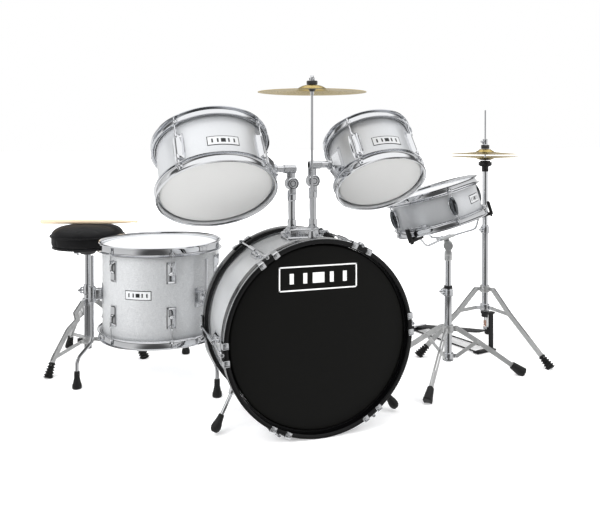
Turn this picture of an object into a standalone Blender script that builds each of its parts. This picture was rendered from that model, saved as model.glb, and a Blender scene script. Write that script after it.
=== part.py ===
"""A small acoustic drum kit: bass drum, two rack toms, floor tom, snare drum, hi-hat, crash cymbal, pedals and stool.

Metres, +Z up. The kit is laid out in the bass drum's frame: Y runs along the bass drum, with its front hoop's
face at y = 0, and X runs to the right of someone who faces that hoop. The empty named kit shifts that frame,
so that the world origin is on the floor under the middle of the whole kit.
"""

import math
from collections import namedtuple

import bmesh
import bpy
from mathutils import Matrix, Vector

# ---------------------------------------------------------------- driving dimensions

KIT_CENTRE = Vector((0.1082, 0.4152, 0.0))
GAP = 0.0004
WALL = 0.006
HEAD_THICKNESS = 0.0012
HEAD_INSET = 0.010
LARGE_STEPS = 36
SMALL_STEPS = 12

Drum = namedtuple("Drum", "shell hoop depth wall_height first_lug lug_count lug_size")
RACK_LUG = (0.012, 0.016, 0.050)
LEFT_TOM = Drum(0.124, 0.1365, 0.149, 0.024, -135, 4, RACK_LUG)
RIGHT_TOM = Drum(0.100, 0.1130, 0.147, 0.024, -135, 4, RACK_LUG)
FLOOR_TOM = Drum(0.1525, 0.1660, 0.256, 0.024, -147, 6, (0.012, 0.016, 0.160))
SNARE = Drum(0.117, 0.1300, 0.107, 0.020, -98, 4, (0.012, 0.016, 0.036))

BASS_RADIUS = 0.2175
BASS_SHELL = 0.2035
BASS_DEPTH = 0.252
BASS_HOOP_WIDTH = 0.036
BASS_HOOP_WALL = 0.010
BASS_HEAD_INSET = 0.009
BASS_LUG_COUNT = 6
BASS_FIRST_LUG = 4
CLAW_SIZE = (0.013, 0.046, 0.026)

SPUR_PIVOT = Vector((0.1713, 0.120, 0.0851))
SPUR_FOOT = Vector((0.2180, 0.0905, 0.0130))
SPUR_RADIUS = 0.0045

HOLDER_Y = 0.1375
POST_X = 0.0262
POST_RADIUS = 0.0085
POST_BOTTOM = 0.365
HOLDER_TOP = 0.4439
DISC_RADIUS = 0.0150
DISC_WIDTH = 0.0125
PIPE_RADIUS = 0.0080
TomHolder = namedtuple("TomHolder", "side disc_z pipe_z reach centre_x rise tilt")
LEFT_HOLDER = TomHolder(-1, 0.5474, 0.5813, 0.0700, 0.2106, 0.005, 37.2)
RIGHT_HOLDER = TomHolder(1, 0.5526, 0.5907, 0.0700, 0.1851, 0.009, 38.8)

CRASH_Y = 0.068
CRASH_ROD_RADIUS = 0.0028
CRASH_ROD_BOTTOM = 0.335
CRASH_BASE_TOP = 0.4459
CRASH_RADIUS = 0.1225
CRASH_EDGE_Z = 0.7575
CRASH_BELL_RISE = 0.0160
CYMBAL_THICKNESS = 0.0012
CYMBAL_HOLE = 0.0060

FLOOR_TOM_AXIS = Vector((-0.2862, 0.4968, 0.0))
FLOOR_TOM_TOP = 0.3795
FLOOR_LEG_ANGLES = (-177, -57, 63)
FLOOR_LEG_RADIUS = 0.1785
FLOOR_FOOT_RADIUS = 0.2175
FLOOR_ROD_RADIUS = 0.00475
FLOOR_BRACKET_Z = 0.2437

SNARE_AXIS = Vector((0.4597, 0.2585, 0.0))
SNARE_TILTER_Z = 0.3606
SNARE_TILT = -17.0
SNARE_TILT_HEADING = 61.95
SNARE_RISE = 0.0573
BASKET_ARM_ANGLES = (-158, -22, 90)

HIHAT_AXIS = Vector((0.6805, 0.4200, 0.0))
HIHAT_RADIUS = 0.1015
HIHAT_TOP_EDGE = 0.6055
HIHAT_BOTTOM_EDGE = 0.5970
HIHAT_SEAT_Z = 0.5862
HIHAT_ROD_TOP = 0.738
HIHAT_HEADING = 104.0
HIHAT_HEEL_REACH = 0.300

THRONE_AXIS = Vector((-0.4702, 0.7165, 0.0))
SEAT_RADIUS = 0.1063
SEAT_BOTTOM = 0.3350
SEAT_SHOULDER = 0.3702
SEAT_TOP = 0.4011
STICK_LENGTH = 0.287
STICK_HEADING = -18.2
STICK_OVERHANG = 0.140
STICK_RADIUS = 0.0066

# One folding tripod: every pair is (distance from the tube's axis, height).
Tripod = namedtuple("Tripod", "angles leg brace_pivot joint collar_slides tube_radius")
SNARE_TRIPOD = Tripod(
    angles=(-133.7, -13.7, 106.3),
    leg=((0.0240, 0.1340), (0.0820, 0.0970), (0.1960, 0.0170)),
    brace_pivot=(0.0240, 0.0580),
    joint=(0.0820, 0.0970),
    collar_slides=True,
    tube_radius=0.0100,
)
HIHAT_TRIPOD = Tripod(
    angles=(173.9, -66.1, 53.9),
    leg=((0.0290, 0.1950), (0.0860, 0.1300), (0.2020, 0.0170)),
    brace_pivot=(0.0260, 0.1380),
    joint=(0.0860, 0.1300),
    collar_slides=True,
    tube_radius=0.0095,
)
THRONE_TRIPOD = Tripod(
    angles=(-131.0, -11.0, 109.0),
    leg=((0.0255, 0.1745), (0.0532, 0.1518), (0.0460, 0.1300), (0.0844, 0.1100), (0.1430, 0.0460), (0.1560, 0.0180)),
    brace_pivot=(0.0270, 0.0620),
    joint=(0.1430, 0.0460),
    collar_slides=False,
    tube_radius=0.0110,
)
LEG_WIDTH = 0.0130
LEG_THICKNESS = 0.0086
SLOT_THICKNESS = 0.0054
PLATE_THICKNESS = 0.0020
PLATE_OFFSET = 0.0014
PIN_RADIUS = 0.0020
PIN_HOLE = 0.0028
COLLAR_HEIGHT = 0.020
COLLAR_WALL = 0.005
FOOT_LENGTH = 0.040

PEDAL_Y = 0.302
PEDAL_AXLE_Z = 0.150
PEDAL_HALF_WIDTH = 0.045
PEDAL_HEEL = Vector((0.0, 0.530, 0.022))
PEDAL_TOE = Vector((0.0, 0.318, 0.086))
BEATER_LENGTH = 0.125
BEATER_LEAN = 30.0

CHROME = ("chrome", (0.80, 0.81, 0.83), 0.12, 1.0)
STEEL = ("satin_steel", (0.66, 0.67, 0.68), 0.35, 1.0)
SILVER_WRAP = ("silver_wrap", (0.74, 0.76, 0.79), 0.30, 0.6)
SPARKLE_WRAP = ("sparkle_wrap", (0.72, 0.75, 0.78), 0.35, 0.5)
BLACK_HOOP = ("black_lacquer", (0.010, 0.010, 0.011), 0.15, 0.0)
BRASS = ("cymbal_brass", (0.80, 0.62, 0.30), 0.25, 1.0)
BLACK_VINYL = ("black_vinyl", (0.016, 0.016, 0.018), 0.45, 0.0)
BLACK_STEEL = ("black_steel", (0.020, 0.020, 0.021), 0.40, 0.6)
MAPLE = ("maple", (0.82, 0.66, 0.46), 0.50, 0.0)


# ---------------------------------------------------------------- scene and solids


def clear_scene():
    for obj in list(bpy.data.objects):
        bpy.data.objects.remove(obj, do_unlink=True)


def new_collection(name):
    collection = bpy.data.collections.new(name)
    bpy.context.scene.collection.children.link(collection)
    return collection


def material(spec):
    name, colour, roughness, metallic = spec
    found = bpy.data.materials.get(name)
    if found:
        return found
    made = bpy.data.materials.new(name)
    made.use_nodes = True
    shader = made.node_tree.nodes["Principled BSDF"]
    shader.inputs["Base Color"].default_value = (*colour, 1.0)
    shader.inputs["Roughness"].default_value = roughness
    shader.inputs["Metallic"].default_value = metallic
    return made


def link(data, name="solid"):
    obj = bpy.data.objects.new(name, data)
    KIT.objects.link(obj)
    return obj


def baked(obj, transform=Matrix.Identity(4)):
    """The object's evaluated shape as a plain welded mesh object; the object itself is removed."""
    graph = bpy.context.evaluated_depsgraph_get()
    mesh = bpy.data.meshes.new_from_object(obj.evaluated_get(graph))
    bpy.data.objects.remove(obj, do_unlink=True)
    shape = bmesh.new()
    shape.from_mesh(mesh)
    bmesh.ops.remove_doubles(shape, verts=shape.verts, dist=1e-6)
    bmesh.ops.transform(shape, matrix=transform, verts=shape.verts)
    shape.to_mesh(mesh)
    shape.free()
    return link(mesh)


def from_bmesh(shape):
    mesh = bpy.data.meshes.new("solid")
    shape.to_mesh(mesh)
    shape.free()
    return link(mesh)


def block(size, centre=(0, 0, 0), turn=Matrix.Identity(4)):
    shape = bmesh.new()
    bmesh.ops.create_cube(shape, size=1.0)
    place = Matrix.Translation(centre) @ turn @ Matrix.Diagonal((*size, 1.0))
    bmesh.ops.transform(shape, matrix=place, verts=shape.verts)
    return from_bmesh(shape)


def rod(radius, start, end, end_radius=None, steps=SMALL_STEPS):
    """A round bar, or a cone when the end's radius differs."""
    start, end = Vector(start), Vector(end)
    run = end - start
    shape = bmesh.new()
    bmesh.ops.create_cone(
        shape,
        cap_ends=True,
        segments=steps,
        radius1=radius,
        radius2=radius if end_radius is None else end_radius,
        depth=run.length,
    )
    place = Matrix.Translation((start + end) / 2) @ run.to_track_quat("Z", "Y").to_matrix().to_4x4()
    bmesh.ops.transform(shape, matrix=place, verts=shape.verts)
    return from_bmesh(shape)


def turned(profile, steps=LARGE_STEPS, ring=False, transform=Matrix.Identity(4)):
    """A shape turned about Z. The (radius, height) points run down its outer side; a ring's profile is closed."""
    count = len(profile)
    edges = [(i, i + 1) for i in range(count - 1)]
    if ring:
        edges.append((count - 1, 0))
    mesh = bpy.data.meshes.new("solid")
    mesh.from_pydata([(radius, 0, height) for radius, height in profile], edges, [])
    obj = link(mesh)
    screw = obj.modifiers.new("Turn", "SCREW")
    screw.axis = "Z"
    screw.steps = steps
    screw.render_steps = steps
    screw.use_merge_vertices = True
    screw.merge_threshold = 0.00001
    return baked(obj, transform)


def tube(inner, *sections, steps=SMALL_STEPS):
    """A tube about Z; its (outer radius, bottom) sections run down from the height that comes before them."""
    top, *sections = sections
    profile = []
    for outer, bottom in sections:
        profile += [(outer, top), (outer, bottom)]
        top = bottom
    profile += [(inner, profile[-1][1]), (inner, profile[0][1])]
    return turned(profile, steps, ring=True)


def wire(points, radius, resolution=2):
    """A bent rod through points."""
    curve = bpy.data.curves.new("wire", "CURVE")
    curve.dimensions = "3D"
    spline = curve.splines.new("POLY")
    spline.points.add(len(points) - 1)
    for slot, point in zip(spline.points, points):
        slot.co = (*point, 1.0)
    curve.bevel_depth = radius
    curve.bevel_resolution = resolution
    curve.use_fill_caps = True
    return baked(link(curve))


def arc(centre, radius, start, end, steps):
    """Points on an arc, from one angle in degrees to another."""
    span = [math.radians(start + (end - start) * i / steps) for i in range(steps + 1)]
    return [(centre[0] + radius * math.cos(a), centre[1] + radius * math.sin(a)) for a in span]


def strip_outline(points, half_width):
    """The outline of a flat strip that follows points, with round ends."""
    path = [Vector(point) for point in points]
    runs = [(after - before).normalized() for before, after in zip(path, path[1:])]
    left, right = [], []
    for here, arriving, leaving in zip(path[1:], runs, runs[1:]):
        normal = Vector((-arriving.y - leaving.y, arriving.x + leaving.x)).normalized()
        reach = half_width / normal.dot(Vector((-arriving.y, arriving.x)))
        left.append(tuple(here + normal * reach))
        right.append(tuple(here - normal * reach))
    first = math.degrees(math.atan2(runs[0].y, runs[0].x))
    last = math.degrees(math.atan2(runs[-1].y, runs[-1].x))
    start_cap = arc(path[0], half_width, first + 90, first + 270, 5)
    end_cap = arc(path[-1], half_width, last - 90, last + 90, 5)
    return start_cap + right + end_cap + left[::-1]


def strip(points, width, thickness, offset=0.0, holes=()):
    """A flat strip in the XZ plane with round holes through it; offset moves it along Y."""
    curve = bpy.data.curves.new("strip", "CURVE")
    curve.dimensions = "2D"
    curve.fill_mode = "BOTH"
    curve.extrude = thickness / 2
    outlines = [strip_outline(points, width / 2)]
    outlines += [arc(hole, PIN_HOLE, 0, 330, 11) for hole in holes]
    for outline in outlines:
        spline = curve.splines.new("POLY")
        spline.points.add(len(outline) - 1)
        spline.use_cyclic_u = True
        for slot, (x, z) in zip(spline.points, outline):
            slot.co = (x, z, 0.0, 1.0)
    upright = Matrix.Translation((0, offset, 0)) @ Matrix.Rotation(math.radians(90), 4, "X")
    return baked(link(curve), upright)


def spun(obj, degrees, centre=(0, 0, 0), axis="Z"):
    """The solid turned about an axis through centre."""
    centre = Vector(centre)
    turn = Matrix.Rotation(math.radians(degrees), 4, axis)
    obj.data.transform(Matrix.Translation(centre) @ turn @ Matrix.Translation(-centre))
    return obj


def part(name, spec, solids, cutters=(), parent=None, location=(0, 0, 0), heading=0.0):
    """One named piece: the union of its solids less its cutters, hung from parent at location."""
    base = solids[0]
    for operation, others in (("UNION", solids[1:]), ("DIFFERENCE", cutters)):
        for other in others:
            cut = base.modifiers.new("Join", "BOOLEAN")
            cut.operation = operation
            cut.solver = "EXACT"
            cut.object = other
    others = [*solids[1:], *cutters]
    piece = baked(base)
    for other in others:
        bpy.data.objects.remove(other, do_unlink=True)
    piece.name = name
    piece.data.name = name
    piece.data.materials.clear()
    piece.data.materials.append(material(spec))
    piece.data.shade_smooth()
    piece.data.set_sharp_from_angle(angle=math.radians(35))
    piece.parent = parent or KIT_EMPTY
    piece.location = location
    piece.rotation_euler = (0, 0, math.radians(heading))
    return piece


def empty(name, location, parent=None, rotation=Matrix.Identity(3)):
    holder = bpy.data.objects.new(name, None)
    KIT.objects.link(holder)
    holder.parent = parent
    holder.location = location
    holder.rotation_euler = rotation.to_euler()
    return holder


def wing_bolt(start, direction, length=0.016, wing=(0.003, 0.018, 0.009)):
    """A thumb screw: a short shank and a flat wing across it."""
    start, direction = Vector(start), Vector(direction).normalized()
    end = start + direction * length
    turn = direction.to_track_quat("X", "Z").to_matrix().to_4x4()
    return [rod(0.0028, start, end, steps=8), block(wing, end, turn)]


# ---------------------------------------------------------------- drums


def around(count, first, step=None):
    step = step or 360 / count
    return [first + step * i for i in range(count)]


def radial_block(size, radius, degrees, height=0.0):
    """A block whose first side lies along the radius, centred at radius."""
    return spun(block(size, (radius, 0, height)), degrees)


def head_and_hoop(drum, end):
    """A flanged metal hoop with its stretched head, at the drum's top (end = 1) or bottom (end = -1)."""
    wall_in = drum.shell + 0.0035
    wall_out = wall_in + 0.0025
    rim = drum.depth / 2
    head_top = rim - HEAD_INSET
    low = rim - drum.wall_height
    profile = [
        (0, head_top),
        (wall_in, head_top),
        (wall_in, rim),
        (wall_out, rim),
        (wall_out, low + 0.003),
        (drum.hoop, low + 0.003),
        (drum.hoop, low),
        (wall_in, low),
        (wall_in, head_top - HEAD_THICKNESS),
        (0, head_top - HEAD_THICKNESS),
    ]
    if end < 0:
        profile = [(radius, -height) for radius, height in reversed(profile)]
    return turned(profile)


def shell_edge(drum):
    return drum.depth / 2 - HEAD_INSET - HEAD_THICKNESS - GAP


def shell_solids(drum):
    """The open shell, with a lug casting at each tension rod's angle."""
    edge = shell_edge(drum)
    solids = [tube(drum.shell - WALL, edge, (drum.shell, -edge), steps=LARGE_STEPS)]
    for degrees in around(drum.lug_count, drum.first_lug):
        solids.append(radial_block(drum.lug_size, drum.shell + 0.003, degrees))
    return solids


def head_bridge(drum):
    """A narrow ring that joins the resonant hoop to its shell."""
    low = -shell_edge(drum) + 0.004
    return tube(drum.shell - 0.002, low + 0.004, (drum.shell + 0.0045, low), steps=LARGE_STEPS)


def bass_frame():
    """Turns a shape made about +Z so that it points out of the bass drum's front."""
    return Matrix.Translation((0, 0, BASS_RADIUS)) @ Matrix.Rotation(math.radians(90), 4, "X")


def bass_hoop(name, front):
    """A wooden hoop with its head and its six claws."""
    inner = BASS_RADIUS - BASS_HOOP_WALL
    head_out = -BASS_HEAD_INSET
    head_in = head_out - HEAD_THICKNESS
    profile = [
        (0, head_out),
        (inner, head_out),
        (inner, 0),
        (BASS_RADIUS, 0),
        (BASS_RADIUS, -BASS_HOOP_WIDTH),
        (inner, -BASS_HOOP_WIDTH),
        (inner, head_in),
        (0, head_in),
    ]
    shift = 0.0
    if not front:
        profile = [(radius, -height) for radius, height in reversed(profile)]
        shift = -BASS_DEPTH
    frame = bass_frame() @ Matrix.Translation((0, 0, shift))
    solids = [turned(profile, 64, transform=frame)]
    claw_z = -CLAW_SIZE[2] / 2 + 0.003
    for degrees in around(BASS_LUG_COUNT, BASS_FIRST_LUG):
        claw = radial_block(CLAW_SIZE, BASS_RADIUS - 0.002, degrees, claw_z if front else -claw_z)
        claw.data.transform(frame)
        solids.append(claw)
    return part(name, BLACK_HOOP, solids)


def holder_base():
    """The cast bridge on top of the bass drum that both tom posts stand in."""
    foot = block((0.090, 0.056, 0.030), (0, HOLDER_Y, 0.4250))
    shape = bmesh.new()
    shape.from_mesh(foot.data)
    for vertex in shape.verts:
        if vertex.co.z > 0.43:
            vertex.co.z = HOLDER_TOP
            vertex.co.x *= 0.82
            vertex.co.y = HOLDER_Y + (vertex.co.y - HOLDER_Y) * 0.6
    shape.to_mesh(foot.data)
    shape.free()
    return foot


def bass_shell():
    edge_front = BASS_HEAD_INSET + HEAD_THICKNESS + GAP
    profile = [
        (BASS_SHELL, -edge_front),
        (BASS_SHELL, edge_front - BASS_DEPTH),
        (BASS_SHELL - WALL, edge_front - BASS_DEPTH),
        (BASS_SHELL - WALL, -edge_front),
    ]
    solids = [turned(profile, 64, ring=True, transform=bass_frame()), holder_base()]
    for degrees in around(BASS_LUG_COUNT, BASS_FIRST_LUG):
        lug = radial_block((0.014, 0.018, 0.050), BASS_SHELL + 0.003, degrees, -BASS_DEPTH / 2)
        lug.data.transform(bass_frame())
        solids.append(lug)
    solids.append(rod(0.0115, (0, CRASH_Y, 0.412), (0, CRASH_Y, CRASH_BASE_TOP), 0.0075))
    for side in (-1, 1):
        down = math.degrees(math.atan2(SPUR_PIVOT.z - BASS_RADIUS, side * SPUR_PIVOT.x))
        plate = block((0.014, 0.032, 0.030), (BASS_SHELL + 0.0005, 0, 0))
        plate = spun(plate, -down, axis="Y")
        plate.data.transform(Matrix.Translation((0, SPUR_PIVOT.y, BASS_RADIUS)))
        solids.append(plate)
    cutters = [rod(CRASH_ROD_RADIUS + 0.0008, (0, CRASH_Y, 0.39), (0, CRASH_Y, 0.46))]
    for side in (-1, 1):
        x = side * POST_X
        cutters.append(rod(POST_RADIUS + 0.0006, (x, HOLDER_Y, 0.38), (x, HOLDER_Y, 0.46)))
    return part("bass_shell", SPARKLE_WRAP, solids, cutters)


def spur(name, side):
    """A leg that keeps the bass drum from rolling; it folds about its bracket."""
    pivot = Vector((side * SPUR_PIVOT.x, SPUR_PIVOT.y, SPUR_PIVOT.z))
    foot = Vector((side * SPUR_FOOT.x, SPUR_FOOT.y, SPUR_FOOT.z)) - pivot
    along = foot.normalized()
    solids = [
        rod(SPUR_RADIUS, -along * 0.002, foot, steps=12),
        rod(0.0065, foot - along * 0.034, foot, 0.0110, steps=12),
        rod(0.0110, foot, foot + Vector((0, 0, -SPUR_FOOT.z)), 0.0090, steps=12),
    ]
    return part(name, CHROME, solids, location=pivot)


def bass_drum():
    bass_shell()
    bass_hoop("bass_front_hoop", True)
    bass_hoop("bass_rear_hoop", False)
    spur("spur_left", -1)
    spur("spur_right", 1)


# ---------------------------------------------------------------- rack toms


def tom_post(name, holder):
    """The upright post, whose front disc is one half of the ratchet."""
    origin = Vector((holder.side * POST_X, HOLDER_Y, holder.disc_z))
    drop = Vector((0, 0, -holder.disc_z))
    solids = [
        rod(POST_RADIUS, drop + Vector((0, 0, POST_BOTTOM)), (0, 0, -0.030)),
        rod(0.0105, (0, 0, -0.0400), (0, 0, -0.0156)),
        block((0.017, DISC_WIDTH - 0.001, 0.022), (0, -DISC_WIDTH / 2 - 0.0005, -0.0150)),
        rod(DISC_RADIUS, (0, -DISC_WIDTH, 0), (0, -GAP / 2, 0), steps=24),
        rod(0.0105, drop + Vector((0, 0, HOLDER_TOP + GAP)), drop + Vector((0, 0, HOLDER_TOP + 0.018))),
    ]
    return part(name, CHROME, solids, location=origin)


def tom_arm(name, holder):
    """The ratchet's other disc, with the pipe that the tom's bracket slips over."""
    origin = Vector((holder.side * POST_X, HOLDER_Y, holder.disc_z))
    rise = holder.pipe_z - holder.disc_z
    inner = -holder.side * 0.0100
    outer = holder.side * (holder.reach - POST_X + 0.008)
    solids = [
        rod(DISC_RADIUS, (0, GAP / 2, 0), (0, DISC_WIDTH, 0), steps=24),
        block((0.020, DISC_WIDTH - 0.001, rise), (0, DISC_WIDTH / 2 + 0.0005, rise / 2)),
        rod(PIPE_RADIUS, (inner, 0, rise), (outer, 0, rise)),
        rod(0.0100, (inner, 0, rise), (inner + holder.side * 0.030, 0, rise)),
    ]
    return part(name, CHROME, solids, location=origin)


def rack_tom(word, drum, holder):
    tom_post(f"tom_{word}_post", holder)
    tom_arm(f"tom_{word}_arm", holder)
    pivot = Vector((holder.side * holder.reach, HOLDER_Y, holder.pipe_z))
    tilt = Matrix.Rotation(math.radians(-holder.tilt), 3, "X")
    hinge = empty(f"tom_{word}_pivot", pivot, KIT_EMPTY, tilt)
    centre = Vector((holder.side * (holder.centre_x - holder.reach), 0, holder.rise))
    solids = shell_solids(drum)
    side_x = -holder.side * drum.shell
    clamp_x = -holder.side * (holder.centre_x - holder.reach - 0.006)
    solids.append(block((abs(clamp_x - side_x) + 0.006, 0.034, 0.052), ((clamp_x + side_x) / 2, 0, -holder.rise)))
    bore_start = (clamp_x - holder.side * 0.02, 0, -holder.rise)
    bore_end = (-centre.x + holder.side * 0.0084, 0, -holder.rise)
    cutters = [rod(PIPE_RADIUS + 0.0006, bore_start, bore_end, steps=24)]
    part(f"tom_{word}_shell", SILVER_WRAP, solids, cutters, parent=hinge, location=centre)
    for place, end in (("batter", 1), ("resonant", -1)):
        part(f"tom_{word}_{place}_hoop", CHROME, [head_and_hoop(drum, end)], parent=hinge, location=centre)


# ---------------------------------------------------------------- cymbals


def bow(radius, edge, rise, flip=1):
    """A cymbal's upper surface, as (radius, height) points from its hole to its edge."""
    bell = 0.28 * radius
    foot = 0.40 * rise
    points = [(CYMBAL_HOLE, rise), (0.0130, rise), (0.75 * bell, 0.78 * rise), (bell, foot)]
    points += [(bell + (radius - bell) * t, foot * (1 - t) ** 1.3) for t in (0.45, 1.0)]
    return [(r, edge + flip * z) for r, z in points]


def cymbal(name, radius, edge, rise, location, flip=1):
    upper = bow(radius, edge, rise, flip)
    lower = [(r, z - CYMBAL_THICKNESS) for r, z in reversed(upper)]
    return part(name, BRASS, [turned(upper + lower, 32, ring=True)], location=location)


def crash():
    top = CRASH_EDGE_Z + CRASH_BELL_RISE
    under = top - CYMBAL_THICKNESS
    profile = [
        (0, top + 0.0240),
        (0.0030, top + 0.0240),
        (0.0030, top + 0.0160),
        (0.0060, top + 0.0160),
        (0.0060, top + 0.0090),
        (0.0125, top + 0.0090),
        (0.0125, top + GAP),
        (CRASH_ROD_RADIUS, top + GAP),
        (CRASH_ROD_RADIUS, under - GAP),
        (0.0110, under - GAP),
        (0.0110, under - 0.0060),
        (0.0050, under - 0.0140),
        (CRASH_ROD_RADIUS, under - 0.0160),
        (CRASH_ROD_RADIUS, CRASH_ROD_BOTTOM),
        (0, CRASH_ROD_BOTTOM),
    ]
    place = (0, CRASH_Y, 0)
    part("crash_rod", CHROME, [turned(profile, SMALL_STEPS)], location=place)
    cymbal("crash_cymbal", CRASH_RADIUS, CRASH_EDGE_Z, CRASH_BELL_RISE, place)


# ---------------------------------------------------------------- floor tom


def floor_leg(name, degrees):
    """A bent rod with a rubber foot; it slides in its bracket."""
    out = FLOOR_FOOT_RADIUS - FLOOR_LEG_RADIUS
    points = [(0, 0, 0.345), (0, 0, 0.126), (out * 0.1, 0, 0.116), (out * 0.9, 0, 0.080), (out, 0, 0.070), (out, 0, 0.020)]
    solids = [
        wire(points, FLOOR_ROD_RADIUS),
        rod(0.0065, (out, 0, 0.046), (out, 0, 0.012), 0.0125, steps=12),
        rod(0.0125, (out, 0, 0.012), (out, 0, 0), 0.0110, steps=12),
    ]
    angle = math.radians(degrees)
    offset = Vector((math.cos(angle), math.sin(angle), 0)) * FLOOR_LEG_RADIUS
    return part(name, CHROME, solids, location=FLOOR_TOM_AXIS + offset, heading=degrees)


def floor_tom():
    middle = FLOOR_TOM_TOP - FLOOR_TOM.depth / 2
    centre = FLOOR_TOM_AXIS + Vector((0, 0, middle))
    solids = shell_solids(FLOOR_TOM) + [head_and_hoop(FLOOR_TOM, -1)]
    solids.append(head_bridge(FLOOR_TOM))
    cutters = []
    bracket = FLOOR_LEG_RADIUS + 0.009
    bracket_z = FLOOR_BRACKET_Z - middle
    for degrees in FLOOR_LEG_ANGLES:
        reach = bracket - FLOOR_TOM.shell + 0.003
        solids.append(radial_block((reach, 0.026, 0.050), bracket - reach / 2, degrees, bracket_z))
        x, y = arc((0, 0), FLOOR_LEG_RADIUS, degrees, degrees, 1)[0]
        bore = rod(FLOOR_ROD_RADIUS + 0.0009, (x, y, bracket_z - 0.03), (x, y, bracket_z + 0.03))
        cutters.append(bore)
    part("floor_tom_shell", SPARKLE_WRAP, solids, cutters, location=centre)
    part("floor_tom_batter_hoop", CHROME, [head_and_hoop(FLOOR_TOM, 1)], location=centre)
    for number, degrees in enumerate(FLOOR_LEG_ANGLES, 1):
        floor_leg(f"floor_tom_leg_{number}", degrees)


# ---------------------------------------------------------------- folding tripods


def ears(tripod, pivot):
    """Flat ears round a collar, each with the pin that a leg or a brace turns on."""
    reach, height = pivot
    root = tripod.tube_radius + COLLAR_WALL + 0.0016
    across = Vector((0, LEG_THICKNESS / 2, 0))
    centre = Vector((reach, 0, height))
    solids = []
    for degrees in tripod.angles:
        ear = strip([(root, height), (reach, height)], 0.0110, PLATE_THICKNESS, PLATE_OFFSET)
        pin = rod(PIN_RADIUS, centre - across, centre + across, steps=8)
        solids += [spun(ear, degrees), spun(pin, degrees)]
    return solids


def sliding_collar(tripod, pivot):
    inner = tripod.tube_radius + 0.0005
    half = COLLAR_HEIGHT / 2
    return [tube(inner, pivot[1] + half, (tripod.tube_radius + COLLAR_WALL, pivot[1] - half)), *ears(tripod, pivot)]


def foot_block(tripod):
    """The rubber shoe, cut flat at floor level, in line with the leg's last run."""
    start, end = (Vector((x, 0, z)) for x, z in tripod.leg[-2:])
    along = (end - start).normalized()
    toe = end + along * 0.5 * FOOT_LENGTH
    heel = end - along * 0.5 * FOOT_LENGTH
    return rod(0.0100, heel, toe, 0.0150, steps=8)


def tripod_leg(name, tripod, degrees, axis):
    """One leg: a strip slotted for its brace, with a shoe; its origin is on its hinge pin."""
    pivot = Vector((tripod.leg[0][0], 0, tripod.leg[0][1]))
    path = [(x - pivot.x, z - pivot.z) for x, z in tripod.leg]
    joint = (tripod.joint[0] - pivot.x, tripod.joint[1] - pivot.z)
    leg = strip(path, LEG_WIDTH, LEG_THICKNESS, holes=[(0, 0)])
    shoe = foot_block(tripod)
    shoe.data.transform(Matrix.Translation(-pivot))
    slot_path = [(-0.02 * joint[0] / abs(joint[0]), 0)] + path[:-1]
    last, before = Vector(path[-1]), Vector(path[-2])
    slot_path[-1] = tuple(before)
    slot_path.append(tuple(before + (last - before) * (0.50 if tripod.collar_slides else 0.25)))
    slot = strip(slot_path, LEG_WIDTH * 1.8, SLOT_THICKNESS)
    floor = block((0.2, 0.2, 0.1), (path[-1][0], 0, -pivot.z - 0.05))
    return part(name, STEEL, [leg, shoe], [slot, floor], location=lifted(axis, pivot, degrees), heading=degrees)


def lifted(axis, pivot, degrees):
    angle = math.radians(degrees)
    return axis + Vector((pivot.x * math.cos(angle), pivot.x * math.sin(angle), pivot.z))


def tripod_brace(name, tripod, degrees, axis):
    """The strip between the lower bracket and the leg; it lies in the leg's slot."""
    pivot = Vector((tripod.brace_pivot[0], 0, tripod.brace_pivot[1]))
    end = (tripod.joint[0] - pivot.x, tripod.joint[1] - pivot.z)
    bar = strip([(0, 0), end], 0.0110, PLATE_THICKNESS, -PLATE_OFFSET, holes=[(0, 0)])
    return part(name, STEEL, [bar], location=lifted(axis, pivot, degrees), heading=degrees)


def tripod_folds(word, tripod, axis):
    """The moving pieces of one tripod: three legs and three braces."""
    for number, degrees in enumerate(tripod.angles, 1):
        tripod_leg(f"{word}_leg_{number}", tripod, degrees, axis)
        tripod_brace(f"{word}_brace_{number}", tripod, degrees, axis)


# ---------------------------------------------------------------- snare drum and stand


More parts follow.
